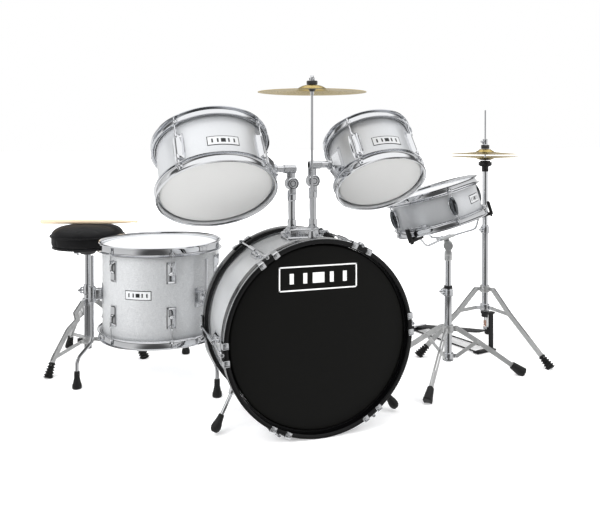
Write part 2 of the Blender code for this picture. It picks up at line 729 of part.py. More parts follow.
def snare_stand():
    tripod = SNARE_TRIPOD
    tube_out = tripod.tube_radius
    collar_out = tube_out + COLLAR_WALL
    sections = [(0.0125, 0.2455), (0.0135, 0.2223), (tube_out, 0.0680), (collar_out, 0.0480), (tube_out, 0.0450)]
    base = [tube(0.0086, 0.2513, *sections), *ears(tripod, tripod.brace_pivot)]
    base += wing_bolt((-0.0125, 0, 0.2370), (-1, -0.15, 0))
    part("snare_stand_base", CHROME, base, location=SNARE_AXIS)
    part("snare_stand_leg_collar", CHROME, sliding_collar(tripod, tripod.leg[0]), location=SNARE_AXIS)
    tripod_folds("snare_stand", tripod, SNARE_AXIS)

    hinge = Vector((math.cos(math.radians(SNARE_TILT_HEADING)), math.sin(math.radians(SNARE_TILT_HEADING)), 0))
    pivot = Vector((0, 0, SNARE_TILTER_Z))
    upper = [
        rod(0.0080, (0, 0, 0.105), (0, 0, 0.330)),
        rod(0.0105, (0, 0, 0.3200), (0, 0, 0.3440)),
        rod(0.0130, pivot - hinge * 0.0130, pivot - hinge * GAP, steps=20),
        spun(block((0.011, 0.017, 0.020), (-0.0066, 0, 0.3440)), SNARE_TILT_HEADING),
    ]
    part("snare_stand_upper_tube", CHROME, upper, location=SNARE_AXIS)

    tilt = Matrix.Rotation(math.radians(SNARE_TILT), 3, hinge)
    frame = empty("snare_tilt", SNARE_AXIS + pivot, KIT_EMPTY, tilt)
    basket = [
        rod(0.0130, hinge * GAP, hinge * 0.0130, steps=20),
        spun(block((0.012, 0.016, 0.020), (0.0066, 0, 0.0120)), SNARE_TILT_HEADING),
        block((0.044, 0.034, 0.007), (0, 0, 0.0225)),
    ]
    for degrees in BASKET_ARM_ANGLES:
        arm = wire([(0.012, 0, 0.0225), (0.084, 0, 0.0225), (0.096, 0, 0.0440), (0.100, 0, SNARE_RISE - 0.0065)], 0.0030)
        grip_r = SNARE.hoop + 0.0062
        grip_z = SNARE_RISE - 0.0062
        grip = wire([(0.092, 0, grip_z), (grip_r, 0, grip_z), (grip_r, 0, grip_z + 0.032)], 0.0052)
        basket += [spun(arm, degrees), spun(grip, degrees)]
    part("snare_stand_basket", CHROME, basket, parent=frame)

    centre = (0, 0, SNARE_RISE + SNARE.depth / 2)
    shell = shell_solids(SNARE) + [head_and_hoop(SNARE, -1)]
    shell.append(head_bridge(SNARE))
    part("snare_shell", SILVER_WRAP, shell, parent=frame, location=centre)
    part("snare_batter_hoop", CHROME, [head_and_hoop(SNARE, 1)], parent=frame, location=centre)


# ---------------------------------------------------------------- hi-hat


def heading_vector(degrees, length=1.0):
    angle = math.radians(degrees)
    return Vector((math.cos(angle), math.sin(angle), 0)) * length


def hihat_base():
    """The tube, its fixed lower bracket, the cymbal seat and the pedal frame with its heel plate."""
    tripod = HIHAT_TRIPOD
    tube_out = tripod.tube_radius
    sections = [
        (0.0200, HIHAT_SEAT_Z - 0.0180),
        (0.0100, HIHAT_SEAT_Z - 0.0350),
        (0.0083, 0.3880),
        (0.0125, 0.3640),
        (tube_out, 0.1480),
        (tube_out + COLLAR_WALL, 0.1280),
        (0.0125, 0.1080),
    ]
    solids = [tube(0.0060, HIHAT_SEAT_Z - 0.0020, *sections), *ears(tripod, tripod.brace_pivot)]
    side = heading_vector(HIHAT_HEADING - 90)
    back = heading_vector(HIHAT_HEADING)
    turn = Matrix.Rotation(math.radians(HIHAT_HEADING - 90), 4, "Z")
    solids.append(block((0.028, 0.016, 0.006), side * 0.0230 + Vector((0, 0, 0.1170)), turn))
    solids.append(block((0.018, 0.0045, 0.1130), side * 0.0275 + Vector((0, 0, 0.0605)), turn))
    solids.append(block((0.080, 0.022, 0.006), Vector((0, 0, 0.0040)), turn))
    for reach in (-0.030, 0.030):
        start = side * reach + Vector((0, 0, 0.0042))
        solids.append(rod(0.0024, start, start + back * HIHAT_HEEL_REACH))
    solids.append(block((0.074, 0.036, 0.006), back * HIHAT_HEEL_REACH + Vector((0, 0, 0.0040)), turn))
    return part("hihat_stand_base", CHROME, solids, location=HIHAT_AXIS)


def hihat_rod():
    """The pull rod with the clutch that carries the top cymbal."""
    top = HIHAT_TOP_EDGE + 0.0140
    under = top - CYMBAL_THICKNESS
    profile = [
        (0, HIHAT_ROD_TOP),
        (0.0025, HIHAT_ROD_TOP),
        (0.0025, 0.650),
        (0.0068, 0.650),
        (0.0068, 0.632),
        (0.0125, 0.632),
        (0.0125, top + GAP),
        (0.0035, top + GAP),
        (0.0035, under - GAP),
        (0.0080, under - GAP),
        (0.0080, under - 0.0040),
        (0.0025, under - 0.0040),
        (0.0025, 0.0830),
        (0.0060, 0.0830),
        (0.0060, 0.0700),
        (0, 0.0700),
    ]
    solids = [turned(profile, SMALL_STEPS)]
    solids += wing_bolt((-0.0055, 0, 0.6420), (-1, -0.3, 0), 0.012, (0.003, 0.012, 0.008))
    part("hihat_pull_rod", CHROME, solids, location=HIHAT_AXIS)
    cymbal("hihat_top_cymbal", HIHAT_RADIUS, HIHAT_TOP_EDGE, 0.0140, HIHAT_AXIS)


def footboard(name, heel, toe, width, location, heading):
    """A pedal plate that turns on its heel; heel and toe are in the (reach, height) plane of the pedal."""
    rise = Vector((toe[0] - heel[0], 0, toe[1] - heel[1]))
    plate = block((rise.length, width, 0.005), (rise.length / 2, 0, 0))
    hinge = rod(0.0050, (0, -width / 2, 0), (0, width / 2, 0), steps=12)
    lean = Matrix.Rotation(-math.atan2(rise.z, rise.x), 4, "Y")
    for solid in (plate, hinge):
        solid.data.transform(lean)
    return part(name, BLACK_STEEL, [plate, hinge], location=location, heading=heading)


def hihat():
    hihat_base()
    hihat_rod()
    cymbal("hihat_bottom_cymbal", HIHAT_RADIUS, HIHAT_BOTTOM_EDGE, HIHAT_BOTTOM_EDGE - HIHAT_SEAT_Z - 0.0008, HIHAT_AXIS, -1)
    part("hihat_stand_leg_collar", CHROME, hihat_collar(), location=HIHAT_AXIS)
    tripod_folds("hihat_stand", HIHAT_TRIPOD, HIHAT_AXIS)
    heel = HIHAT_AXIS + heading_vector(HIHAT_HEADING, HIHAT_HEEL_REACH - 0.010) + Vector((0, 0, 0.0135))
    footboard("hihat_footboard", (0, 0), (0.282, 0.0480), 0.050, heel, HIHAT_HEADING + 180)


def hihat_collar():
    height = HIHAT_TRIPOD.leg[0][1]
    return sliding_collar(HIHAT_TRIPOD, HIHAT_TRIPOD.leg[0]) + wing_bolt((-0.0100, -0.0100, height), (-1, -0.8, 0.1))


# ---------------------------------------------------------------- stool


def throne():
    tripod = THRONE_TRIPOD
    tube_out = tripod.tube_radius
    sections = [(0.0125, 0.2190), (0.0140, 0.1960), (tube_out, 0.1845), (tube_out + COLLAR_WALL, 0.1645), (tube_out, 0.0364)]
    base = [tube(0.0093, 0.2250, *sections), *ears(tripod, tripod.leg[0])]
    base += wing_bolt((-0.0130, 0, 0.2080), (-1, -0.2, 0))
    part("throne_base", CHROME, base, location=THRONE_AXIS)
    collar = sliding_collar(tripod, tripod.brace_pivot)
    collar += wing_bolt((-0.0150, 0, 0.0620), (-1, 0.1, 0), 0.014, (0.008, 0.022, 0.014))
    part("throne_brace_collar", CHROME, collar, location=THRONE_AXIS)
    tripod_folds("throne", tripod, THRONE_AXIS)

    hub_top = SEAT_BOTTOM - GAP
    post = [
        rod(0.0088, (0, 0, 0.085), (0, 0, 0.325)),
        rod(0.0200, (0, 0, 0.3130), (0, 0, 0.3240), 0.0300, steps=24),
        rod(0.0300, (0, 0, 0.3240), (0, 0, hub_top), steps=24),
    ]
    post += wing_bolt((-0.0200, 0, 0.3190), (-1, -0.1, 0), 0.022)
    part("throne_post", BLACK_STEEL, post, location=THRONE_AXIS)
    side = SEAT_RADIUS
    profile = [
        (0, SEAT_TOP),
        (side * 0.60, SEAT_TOP - 0.003),
        (side * 0.85, SEAT_TOP - 0.012),
        (side, SEAT_SHOULDER),
        (side, SEAT_BOTTOM + 0.008),
        (side - 0.010, SEAT_BOTTOM),
        (0, SEAT_BOTTOM),
    ]
    part("throne_seat", BLACK_VINYL, [turned(profile, 40)], location=THRONE_AXIS)


def drumstick():
    """A stick lying across the seat, turned from its butt to its bead."""
    radius = STICK_RADIUS
    profile = [
        (0, STICK_LENGTH),
        (0.0022, STICK_LENGTH - 0.0006),
        (0.0042, STICK_LENGTH - 0.0050),
        (0.0030, STICK_LENGTH - 0.0120),
        (radius, STICK_LENGTH - 0.075),
        (radius, 0.004),
        (radius * 0.6, 0),
        (0, 0),
    ]
    lie = Matrix.Rotation(math.radians(90), 4, "Y")
    start = THRONE_AXIS + heading_vector(STICK_HEADING, -STICK_OVERHANG) + Vector((0, 0, SEAT_TOP + radius + GAP))
    part("drumstick", MAPLE, [turned(profile, 12, transform=lie)], location=start, heading=STICK_HEADING)


# ---------------------------------------------------------------- bass drum pedal


def bass_pedal():
    half = PEDAL_HALF_WIDTH
    length = PEDAL_HEEL.y + 0.014 - PEDAL_Y
    plate_y = (PEDAL_HEEL.y + 0.014 + PEDAL_Y) / 2
    solids = [
        block((0.070, length + 0.030, 0.006), (0, plate_y - 0.010, 0.0030)),
        block((2 * half + 0.010, 0.022, 0.006), (0, PEDAL_Y, 0.0030)),
        block((0.040, 0.046, 0.008), (0, BASS_DEPTH + 0.016, 0.0166)),
        block((0.040, 0.030, 0.0200), (0, BASS_DEPTH + 0.022, 0.0100)),
        rod(0.0045, (-half - 0.004, PEDAL_Y, PEDAL_AXLE_Z), (-0.0105, PEDAL_Y, PEDAL_AXLE_Z), steps=12),
        rod(0.0045, (0.0105, PEDAL_Y, PEDAL_AXLE_Z), (half + 0.004, PEDAL_Y, PEDAL_AXLE_Z), steps=12),
    ]
    for side in (-1, 1):
        solids.append(rod(0.0055, (side * half, PEDAL_Y, 0.003), (side * half, PEDAL_Y, PEDAL_AXLE_Z + 0.010), steps=12))
    part("pedal_frame", CHROME, solids)
    rise = PEDAL_TOE - PEDAL_HEEL
    footboard("pedal_footboard", (0, 0), (-rise.y, rise.z), 0.062, PEDAL_HEEL, -90)
    lean = math.radians(BEATER_LEAN)
    top = Vector((0, math.sin(lean), math.cos(lean))) * BEATER_LENGTH
    across = Vector((0, math.cos(lean), -math.sin(lean)))
    beater = [
        rod(0.0100, (-0.0090, 0, 0), (0.0090, 0, 0), steps=20),
        rod(0.0030, (0, 0, 0), top, steps=12),
        rod(0.0170, top + across * 0.018, top - across * 0.018, steps=20),
    ]
    part("pedal_beater", BLACK_STEEL, beater, location=(0, PEDAL_Y, PEDAL_AXLE_Z))


# ---------------------------------------------------------------- assembly

clear_scene()
KIT = new_collection("drum_kit")
KIT_EMPTY = empty("kit", -KIT_CENTRE)

bass_drum()
rack_tom("left", LEFT_TOM, LEFT_HOLDER)
rack_tom("right", RIGHT_TOM, RIGHT_HOLDER)
crash()
floor_tom()
snare_stand()
hihat()
throne()
drumstick()
bass_pedal()
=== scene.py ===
"""Looks for the drum kit: every CAD node is replaced by a detailed piece that rides on the same body."""

import math

import bmesh
import bpy
from mathutils import Matrix, Vector


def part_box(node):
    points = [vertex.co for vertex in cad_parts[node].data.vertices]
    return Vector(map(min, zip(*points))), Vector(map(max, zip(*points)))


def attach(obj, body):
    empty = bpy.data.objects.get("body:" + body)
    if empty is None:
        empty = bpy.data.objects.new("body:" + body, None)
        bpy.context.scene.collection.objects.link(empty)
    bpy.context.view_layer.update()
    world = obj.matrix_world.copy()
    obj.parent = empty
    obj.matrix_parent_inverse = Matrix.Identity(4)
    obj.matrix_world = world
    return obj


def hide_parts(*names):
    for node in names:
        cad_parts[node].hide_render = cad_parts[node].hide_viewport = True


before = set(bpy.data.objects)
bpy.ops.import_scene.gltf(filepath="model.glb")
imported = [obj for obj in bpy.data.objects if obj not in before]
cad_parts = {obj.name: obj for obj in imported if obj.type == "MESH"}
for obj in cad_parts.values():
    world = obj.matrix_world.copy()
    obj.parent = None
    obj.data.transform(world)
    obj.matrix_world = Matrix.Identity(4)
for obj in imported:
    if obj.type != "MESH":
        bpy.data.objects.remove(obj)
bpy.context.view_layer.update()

# ---------------------------------------------------------------- dimensions, in metres, as in the CAD

CRASH_Y = 0.068
CRASH_LOW, CRASH_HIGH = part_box("crash_cymbal")
KIT_CENTRE = Vector((0, CRASH_Y, 0)) - (CRASH_LOW + CRASH_HIGH) / 2
KIT_CENTRE.z = 0.0
ROOT = "drums_and_stand_bases"

BASS_RADIUS = 0.2175
BASS_SHELL = 0.2035
BASS_DEPTH = 0.252
BASS_HOOP_WIDTH = 0.036
BASS_HOOP_INNER = 0.2075
BASS_HEAD_INSET = 0.013
BASS_LUG_ANGLES = [4 + 60 * i for i in range(6)]
SPUR_PIVOT = Vector((0.1713, 0.12, 0.0851))
SPUR_FOOT = Vector((0.218, 0.0905, 0.013))

HOLDER_Y = 0.1375
POST_X = 0.0262
HOLDER_TOP = 0.4439
HOLDERS = {
    "left": dict(side=-1, disc_z=0.5474, pipe_z=0.5813, reach=0.07, centre_x=0.2106, rise=0.005, tilt=37.2),
    "right": dict(side=1, disc_z=0.5526, pipe_z=0.5907, reach=0.07, centre_x=0.1851, rise=0.009, tilt=38.8),
}

RACK_LUGS = dict(lugs=[-135, -45, 45, 135], lug_at=[-0.007], lug_length=0.066, lug_width=0.029)
DRUMS = {
    "left": dict(shell=0.124, hoop=0.1365, depth=0.149, low=0.024, **RACK_LUGS),
    "right": dict(shell=0.1, hoop=0.113, depth=0.147, low=0.024, **RACK_LUGS),
    "floor": dict(
        shell=0.1525,
        hoop=0.166,
        depth=0.256,
        low=0.024,
        lugs=[-147 + 60 * i for i in range(6)],
        lug_at=[0.0625, -0.05],
        lug_length=0.054,
        lug_width=0.024,
    ),
    "snare": dict(
        shell=0.117,
        hoop=0.13,
        depth=0.107,
        low=0.02,
        lugs=[-97.6 + 90 * i for i in range(4)],
        lug_at=[0.0],
        lug_length=0.05,
        lug_width=0.0205,
    ),
}
for numbers in DRUMS.values():
    numbers["rod"] = numbers["shell"] + 0.0086

CRASH_ROD_RADIUS = 0.0028
CRASH_BASE_TOP = 0.4459
CRASH_RADIUS = 0.1225
CRASH_EDGE_Z = 0.7575
CRASH_BELL_RISE = 0.016
CYMBAL_THICKNESS = 0.0012

FLOOR_TOM_AXIS = Vector((-0.2862, 0.4968, 0.0))
FLOOR_TOM_TOP = 0.3795
FLOOR_LEG_ANGLES = (-177, -57, 63)
FLOOR_LEG_RADIUS = 0.1785
FLOOR_FOOT_RADIUS = 0.2175
FLOOR_BRACKET_Z = 0.2437

SNARE_AXIS = Vector((0.4597, 0.2585, 0.0))
SNARE_TILTER_Z = 0.3606
SNARE_TILT = -17.0
SNARE_TILT_HEADING = 61.95
SNARE_RISE = 0.0573
BASKET_ARM_ANGLES = (-158, -22, 90)

HIHAT_AXIS = Vector((0.6805, 0.42, 0.0))
HIHAT_RADIUS = 0.1015
HIHAT_TOP_EDGE = 0.6055
HIHAT_BOTTOM_EDGE = 0.597
HIHAT_SEAT_Z = 0.5862
HIHAT_ROD_TOP = 0.738
HIHAT_HEADING = 104.0
HIHAT_HEEL_REACH = 0.3

THRONE_AXIS = Vector((-0.4702, 0.7165, 0.0))
SEAT_RADIUS = 0.1063
SEAT_BOTTOM = 0.335
SEAT_SHOULDER = 0.3702
SEAT_TOP = 0.4011
CUSHION_VOXEL = 0.0048
CUSHION_PRESSURE = 4.0
CUSHION_STIFFNESS = 25
CUSHION_FRAMES = 20
CUSHION_SWELL = 0.006
STICK_LENGTH = 0.287
STICK_RADIUS = 0.0066
STICK_HEADING = -18.2
STICK_OVERHANG = 0.14
STICK_TIP_TRIM = 0.0011

TRIPODS = {
    "snare_stand": dict(
        axis=SNARE_AXIS,
        angles=(-133.7, -13.7, 106.3),
        leg=((0.024, 0.134), (0.082, 0.097), (0.196, 0.017)),
        brace_pivot=(0.024, 0.058),
        joint=(0.082, 0.097),
        collar_slides=True,
        tube=0.01,
        ribs=False,
    ),
    "hihat_stand": dict(
        axis=HIHAT_AXIS,
        angles=(173.9, -66.1, 53.9),
        leg=((0.029, 0.195), (0.086, 0.13), (0.202, 0.017)),
        brace_pivot=(0.026, 0.138),
        joint=(0.086, 0.13),
        collar_slides=True,
        tube=0.0095,
        ribs=True,
    ),
    "throne": dict(
        axis=THRONE_AXIS,
        angles=(-131.0, -11.0, 109.0),
        leg=(
            (0.0255, 0.1745), (0.0532, 0.1518), (0.046, 0.13), (0.0844, 0.11), (0.143, 0.046),
            (0.156, 0.018)
        ),
        brace_pivot=(0.027, 0.062),
        joint=(0.143, 0.046),
        collar_slides=False,
        tube=0.011,
        ribs=True,
    ),
}
LEG_WIDTH = 0.013
LEG_THICKNESS = 0.0086
PLATE = 0.0016
FOOT_LENGTH = 0.04
FOOT_WIDTHS = (0.0147, 0.0104)
COLLAR_HEIGHT = 0.02
COLLAR_WALL = 0.005

PEDAL_Y = 0.302
PEDAL_AXLE_Z = 0.15
PEDAL_HALF_WIDTH = 0.045
PEDAL_HEEL = Vector((0.0, 0.53, 0.022))
PEDAL_TOE = Vector((0.0, 0.318, 0.086))
BEATER_LENGTH = 0.125
BEATER_LEAN = 30.0

FLOOR_FRONT = -1.25
FLOOR_SIZE = 30.0
CAMERA_PLACE = Vector((-0.5186, -1.4179, 0.6557))
CAMERA_HEADING = (0.3132, 0.9497)
CAMERA_PITCH = 0.0109
CAMERA_LENS = 41.85
CAMERA_SHIFT = -0.2021
# Name, place, target, width, height and power of each soft light.
LIGHTS = [
    ("key", (-2.3, -1.7, 1.9), (0, 0, 0.35), 2.2, 2.4, 72),
    ("fill", (2.0, -2.2, 1.5), (0, 0, 0.35), 1.6, 2.0, 40),
    ("top", (0, 0.2, 2.8), (0, 0, 0.2), 2.6, 2.6, 30),
]
ROOM_DARK_SIDE = (-0.313, -0.95, 0.0)
# How brightly the room glows, from straight down at -1 to straight up at 1.
ROOM_BANDS = [
    (-0.6, 0.22), (-0.46, 0.16), (-0.38, 0.6), (0.16, 0.7), (0.24, 0.92), (0.32, 0.1), (0.46, 0.1)
]
IDENTITY = Matrix.Identity(4)
UP = Vector((0, 0, 1))

# ---------------------------------------------------------------- shapes, each a (points, faces) pair


def moved(shape, matrix):
    points, faces = shape
    return [matrix @ p for p in points], faces


def shifted(shape, *offset):
    return moved(shape, Matrix.Translation(offset))


def spin(degrees, axis):
    return Matrix.Rotation(math.radians(degrees), 4, axis)


def moved_all(shapes, matrix):
    return [moved(shape, matrix) for shape in shapes]


def revolve(profile, steps=64, ring=False):
    """A shape turned about Z; the (radius, height) points run down its outer side."""
    points, rows = [], []
    for radius, height in profile:
        if radius < 1e-7:
            rows.append([len(points)] * steps)
            points.append(Vector((0, 0, height)))
        else:
            rows.append(list(range(len(points), len(points) + steps)))
            for i in range(steps):
                a = 2 * math.pi * i / steps
                points.append(Vector((radius * math.cos(a), radius * math.sin(a), height)))
    pairs = list(zip(rows, rows[1:]))
    if ring:
        pairs.append((rows[-1], rows[0]))
    faces = []
    for upper, lower in pairs:
        for i in range(steps):
            j = (i + 1) % steps
            face = [upper[i], lower[i], lower[j], upper[j]]
            kept = [v for k, v in enumerate(face) if v not in face[:k]]
            if len(kept) > 2:
                faces.append(kept)
    return points, faces


def rounded_profile(corners, radius, steps=3):
    """The same profile with each listed corner rounded."""
    out = []
    count = len(corners)
    for i, here in enumerate(corners):
        if i in (0, count - 1):
            out.append(here)
            continue
        p, a, b = Vector(here), Vector(corners[i - 1]), Vector(corners[i + 1])
        reach = min(radius, (a - p).length * 0.45, (b - p).length * 0.45)
        start, end = p + (a - p).normalized() * reach, p + (b - p).normalized() * reach
        for k in range(steps + 1):
            t = k / steps
            out.append(tuple(start * (1 - t) ** 2 + p * 2 * t * (1 - t) + end * t**2))
    return out


def turned(corners, edge, steps, edge_steps=3):
    """A solid of revolution with softened corners."""
    return revolve(rounded_profile(corners, edge, edge_steps), steps)


def cylinder(radius, start, end, end_radius=None, steps=32, edge=0.0004):
    """A round bar with slightly rounded ends."""
    start, end = Vector(start), Vector(end)
    run = end - start
    last = radius if end_radius is None else end_radius
    edge = min(edge, radius * 0.4, last * 0.4, run.length * 0.3)
    profile = [
        (0, run.length), (last - edge, run.length), (last, run.length - edge), (radius, edge),
        (radius - edge, 0), (0, 0)
    ]
    place = Matrix.Translation(start) @ run.to_track_quat("Z", "Y").to_matrix().to_4x4()
    return moved(revolve(profile, steps), place)


def sleeve(inner, top, *sections, steps=48, edge=0.0006):
    """A tube about Z whose (outer radius, bottom) sections run down from top, with softened edges."""
    corners = [(inner, top)]
    z = top
    for outer, bottom in sections:
        corners += [(outer, z), (outer, bottom)]
        z = bottom
    corners.append((inner, z))
    return revolve(rounded_profile(corners, edge, 2), steps, ring=True)


def swept(path, radius, steps=20, closed=False):
    """A round bar along a path of points, with flat ends."""
    path = [Vector(p) for p in path]
    count = len(path)
    tangents = []
    for i in range(count):
        before = path[i - 1] if i or closed else path[i]
        after = path[(i + 1) % count] if i + 1 < count or closed else path[i]
        tangents.append((after - before).normalized())
    side = tangents[0].orthogonal().normalized()
    points, faces = [], []
    for i, (centre, along) in enumerate(zip(path, tangents)):
        side = (side - along * side.dot(along)).normalized()
        up = along.cross(side)
        for k in range(steps):
            a = 2 * math.pi * k / steps
            points.append(centre + (side * math.cos(a) + up * math.sin(a)) * radius)
    rows = count if closed else count - 1
    for i in range(rows):
        a, b = i * steps, ((i + 1) % count) * steps
        for k in range(steps):
            m = (k + 1) % steps
            faces.append([a + k, a + m, b + m, b + k])
    if not closed:
        faces.append(list(range(steps))[::-1])
        faces.append([(count - 1) * steps + k for k in range(steps)])
    return points, faces


def smooth_path(corners, radius=0.008, steps=5):
    """A path through corners with each bend rounded."""
    corners = [Vector(c) for c in corners]
    out = [corners[0]]
    for a, p, b in zip(corners, corners[1:], corners[2:]):
        reach = min(radius, (a - p).length * 0.45, (b - p).length * 0.45)
        start, end = p + (a - p).normalized() * reach, p + (b - p).normalized() * reach
        out += [
            start * (1 - t / steps) ** 2 + p * 2 * (t / steps) * (1 - t / steps) + end * (t / steps) ** 2
            for t in range(steps + 1)
        ]
    out.append(corners[-1])
    return out


def from_bmesh(shape):
    shape.verts.index_update()
    points = [v.co.copy() for v in shape.verts]
    faces = [[v.index for v in f.verts] for f in shape.faces]
    shape.free()
    return points, faces


def rounded_box(size, centre=(0, 0, 0), bevel=0.001, segments=2, taper=None):
    """A block with rounded edges; taper shrinks its top in x and y."""
    shape = bmesh.new()
    bmesh.ops.create_cube(shape, size=1.0)
    for v in shape.verts:
        v.co = Vector((v.co.x * size[0], v.co.y * size[1], v.co.z * size[2]))
        if taper and v.co.z > 0:
            v.co.x *= taper[0]
            v.co.y *= taper[1]
    bevel = min(bevel, min(size) * 0.45)
    bmesh.ops.bevel(
        shape, geom=list(shape.edges), offset=bevel, segments=segments, profile=0.5, affect="EDGES"
    )
    bmesh.ops.translate(shape, verts=shape.verts, vec=centre)
    return from_bmesh(shape)


def slab(outline, thickness, bevel=0.0003, lift=0.0):
    """A flat plate in the XY plane with rounded rims, centred on z = lift."""
    shape = bmesh.new()
    ring = [shape.verts.new((x, y, -thickness / 2)) for x, y in outline]
    face = shape.faces.new(ring)
    if face.normal.z > 0:
        bmesh.ops.reverse_faces(shape, faces=[face])
    made = bmesh.ops.extrude_face_region(shape, geom=[face])
    top = [v for v in made["geom"] if isinstance(v, bmesh.types.BMVert)]
    bmesh.ops.translate(shape, verts=top, vec=(0, 0, thickness))
    shape.normal_update()
    rims = [
        e for e in shape.edges if len(e.link_faces) == 2 and abs(e.verts[0].co.z - e.verts[1].co.z) < 1e-9
    ]
    bmesh.ops.bevel(shape, geom=rims, offset=min(bevel, thickness * 0.4), segments=1, affect="EDGES")
    bmesh.ops.recalc_face_normals(shape, faces=shape.faces)
    bmesh.ops.translate(shape, verts=shape.verts, vec=(0, 0, lift))
    return from_bmesh(shape)


def arc(centre, radius, start, end, steps):
    return [
        (centre[0] + radius * math.cos(math.radians(a)), centre[1] + radius * math.sin(math.radians(a)))
        for a in [start + (end - start) * i / steps for i in range(steps + 1)]
    ]


def strip_outline(points, half, steps=8):
    path = [Vector(p) for p in points]
    runs = [(b - a).normalized() for a, b in zip(path, path[1:])]
    left, right = [], []
    for here, a, b in zip(path[1:], runs, runs[1:]):
        normal = Vector((-a.y - b.y, a.x + b.x)).normalized()
        reach = half / normal.dot(Vector((-a.y, a.x)))
        left.append(tuple(here + normal * reach))
        right.append(tuple(here - normal * reach))
    first = math.degrees(math.atan2(runs[0].y, runs[0].x))
    last = math.degrees(math.atan2(runs[-1].y, runs[-1].x))
    return arc(
        path[0], half, first + 90, first + 270, steps
    ) + right + arc(path[-1], half, last - 90, last + 90, steps) + left[::-1]


STAND_UP = spin(90, "X")


def strip(points, width, thickness, offset=0.0, bevel=0.0003):
    """A flat strip in the XZ plane with round ends, moved along Y by offset."""
    return shifted(moved(slab(strip_outline(points, width / 2), thickness, bevel), STAND_UP), 0, offset, 0)


def rivet(x, z, y, radius=0.0032, height=0.0014):
    """A domed rivet head on a strip's side, pointing to +Y or -Y."""
    side = 1 if y > 0 else -1
    profile = [
        (0, height), (radius * 0.55, height * 0.8), (radius * 0.9, height * 0.35), (radius, 0), (0, 0)
    ]
    turn = spin(-90 * side, "X")
    return moved(revolve(profile, 16), Matrix.Translation((x, y, z)) @ turn)


def curved_plate(radius, thickness, half_angle, z0, z1, steps=16):
    """A plate that lies on a cylinder about Z, centred on the X axis."""
    points, faces = [], []
    for i in range(steps + 1):
        a = math.radians(-half_angle + 2 * half_angle * i / steps)
        for r, z in ((radius, z0), (radius + thickness, z0), (radius + thickness, z1), (radius, z1)):
            points.append(Vector((r * math.cos(a), r * math.sin(a), z)))
    for i in range(steps):
        for k in range(4):
            m = (k + 1) % 4
            faces.append([4 * i + k, 4 * i + 4 + k, 4 * i + 4 + m, 4 * i + m])
    faces.append([3, 2, 1, 0])
    faces.append([4 * steps + k for k in range(4)])
    return points, [f[::-1] for f in faces]


WING_OUTLINE = [
    (0.0, 0.0), (0.3, -0.1), (0.72, 0.1), (0.96, 0.42), (0.98, 0.75), (0.8, 0.98), (0.55, 0.92),
    (0.34, 0.62), (0.12, 0.5)
]
WING_TURN = spin(90, "Z") @ spin(90, "X") @ spin(-90, "Y") @ spin(90, "Z")


def wing_bolt(start, direction, length=0.014, span=0.022, height=0.01, roll=0.0, shank=0.0028):
    """A thumb screw: shank, hub and two rounded wings."""
    direction = Vector(direction).normalized()
    aim = direction.to_track_quat("X", "Z").to_matrix().to_4x4()
    place = Matrix.Translation(start) @ aim @ Matrix.Rotation(roll, 4, "X")
    shapes = [cylinder(shank, (0, 0, 0), (length * 0.6, 0, 0), steps=16)]
    shapes.append(cylinder(shank * 1.75, (length * 0.45, 0, 0), (length, 0, 0), shank * 1.25, steps=20))
    for side in (-1, 1):
        flat = [(side * y * span / 2, (x - 0.1) * height) for y, x in WING_OUTLINE]
        wing = slab(flat, 0.0026, 0.0008)
        shapes.append(moved(wing, Matrix.Translation((length * 0.62, 0, 0)) @ WING_TURN))
    return moved_all(shapes, place)


# ---------------------------------------------------------------- materials


def map_range(tree, source, start, end, low, high, interpolation="LINEAR"):
    made = tree.nodes.new("ShaderNodeMapRange")
    made.interpolation_type = interpolation
    for key, value in (("From Min", start), ("From Max", end), ("To Min", low), ("To Max", high)):
        made.inputs[key].default_value = value
    tree.links.new(source, made.inputs["Value"])
    return made.outputs["Result"]


def colour_ramp(tree, source, stops):
    made = tree.nodes.new("ShaderNodeValToRGB")
    elements = made.color_ramp.elements
    while len(elements) < len(stops):
        elements.new(0.5)
    for element, (place, colour) in zip(elements, stops):
        element.position = place
        element.color = (*colour, 1)
    tree.links.new(source, made.inputs["Fac"])
    return made.outputs["Color"]


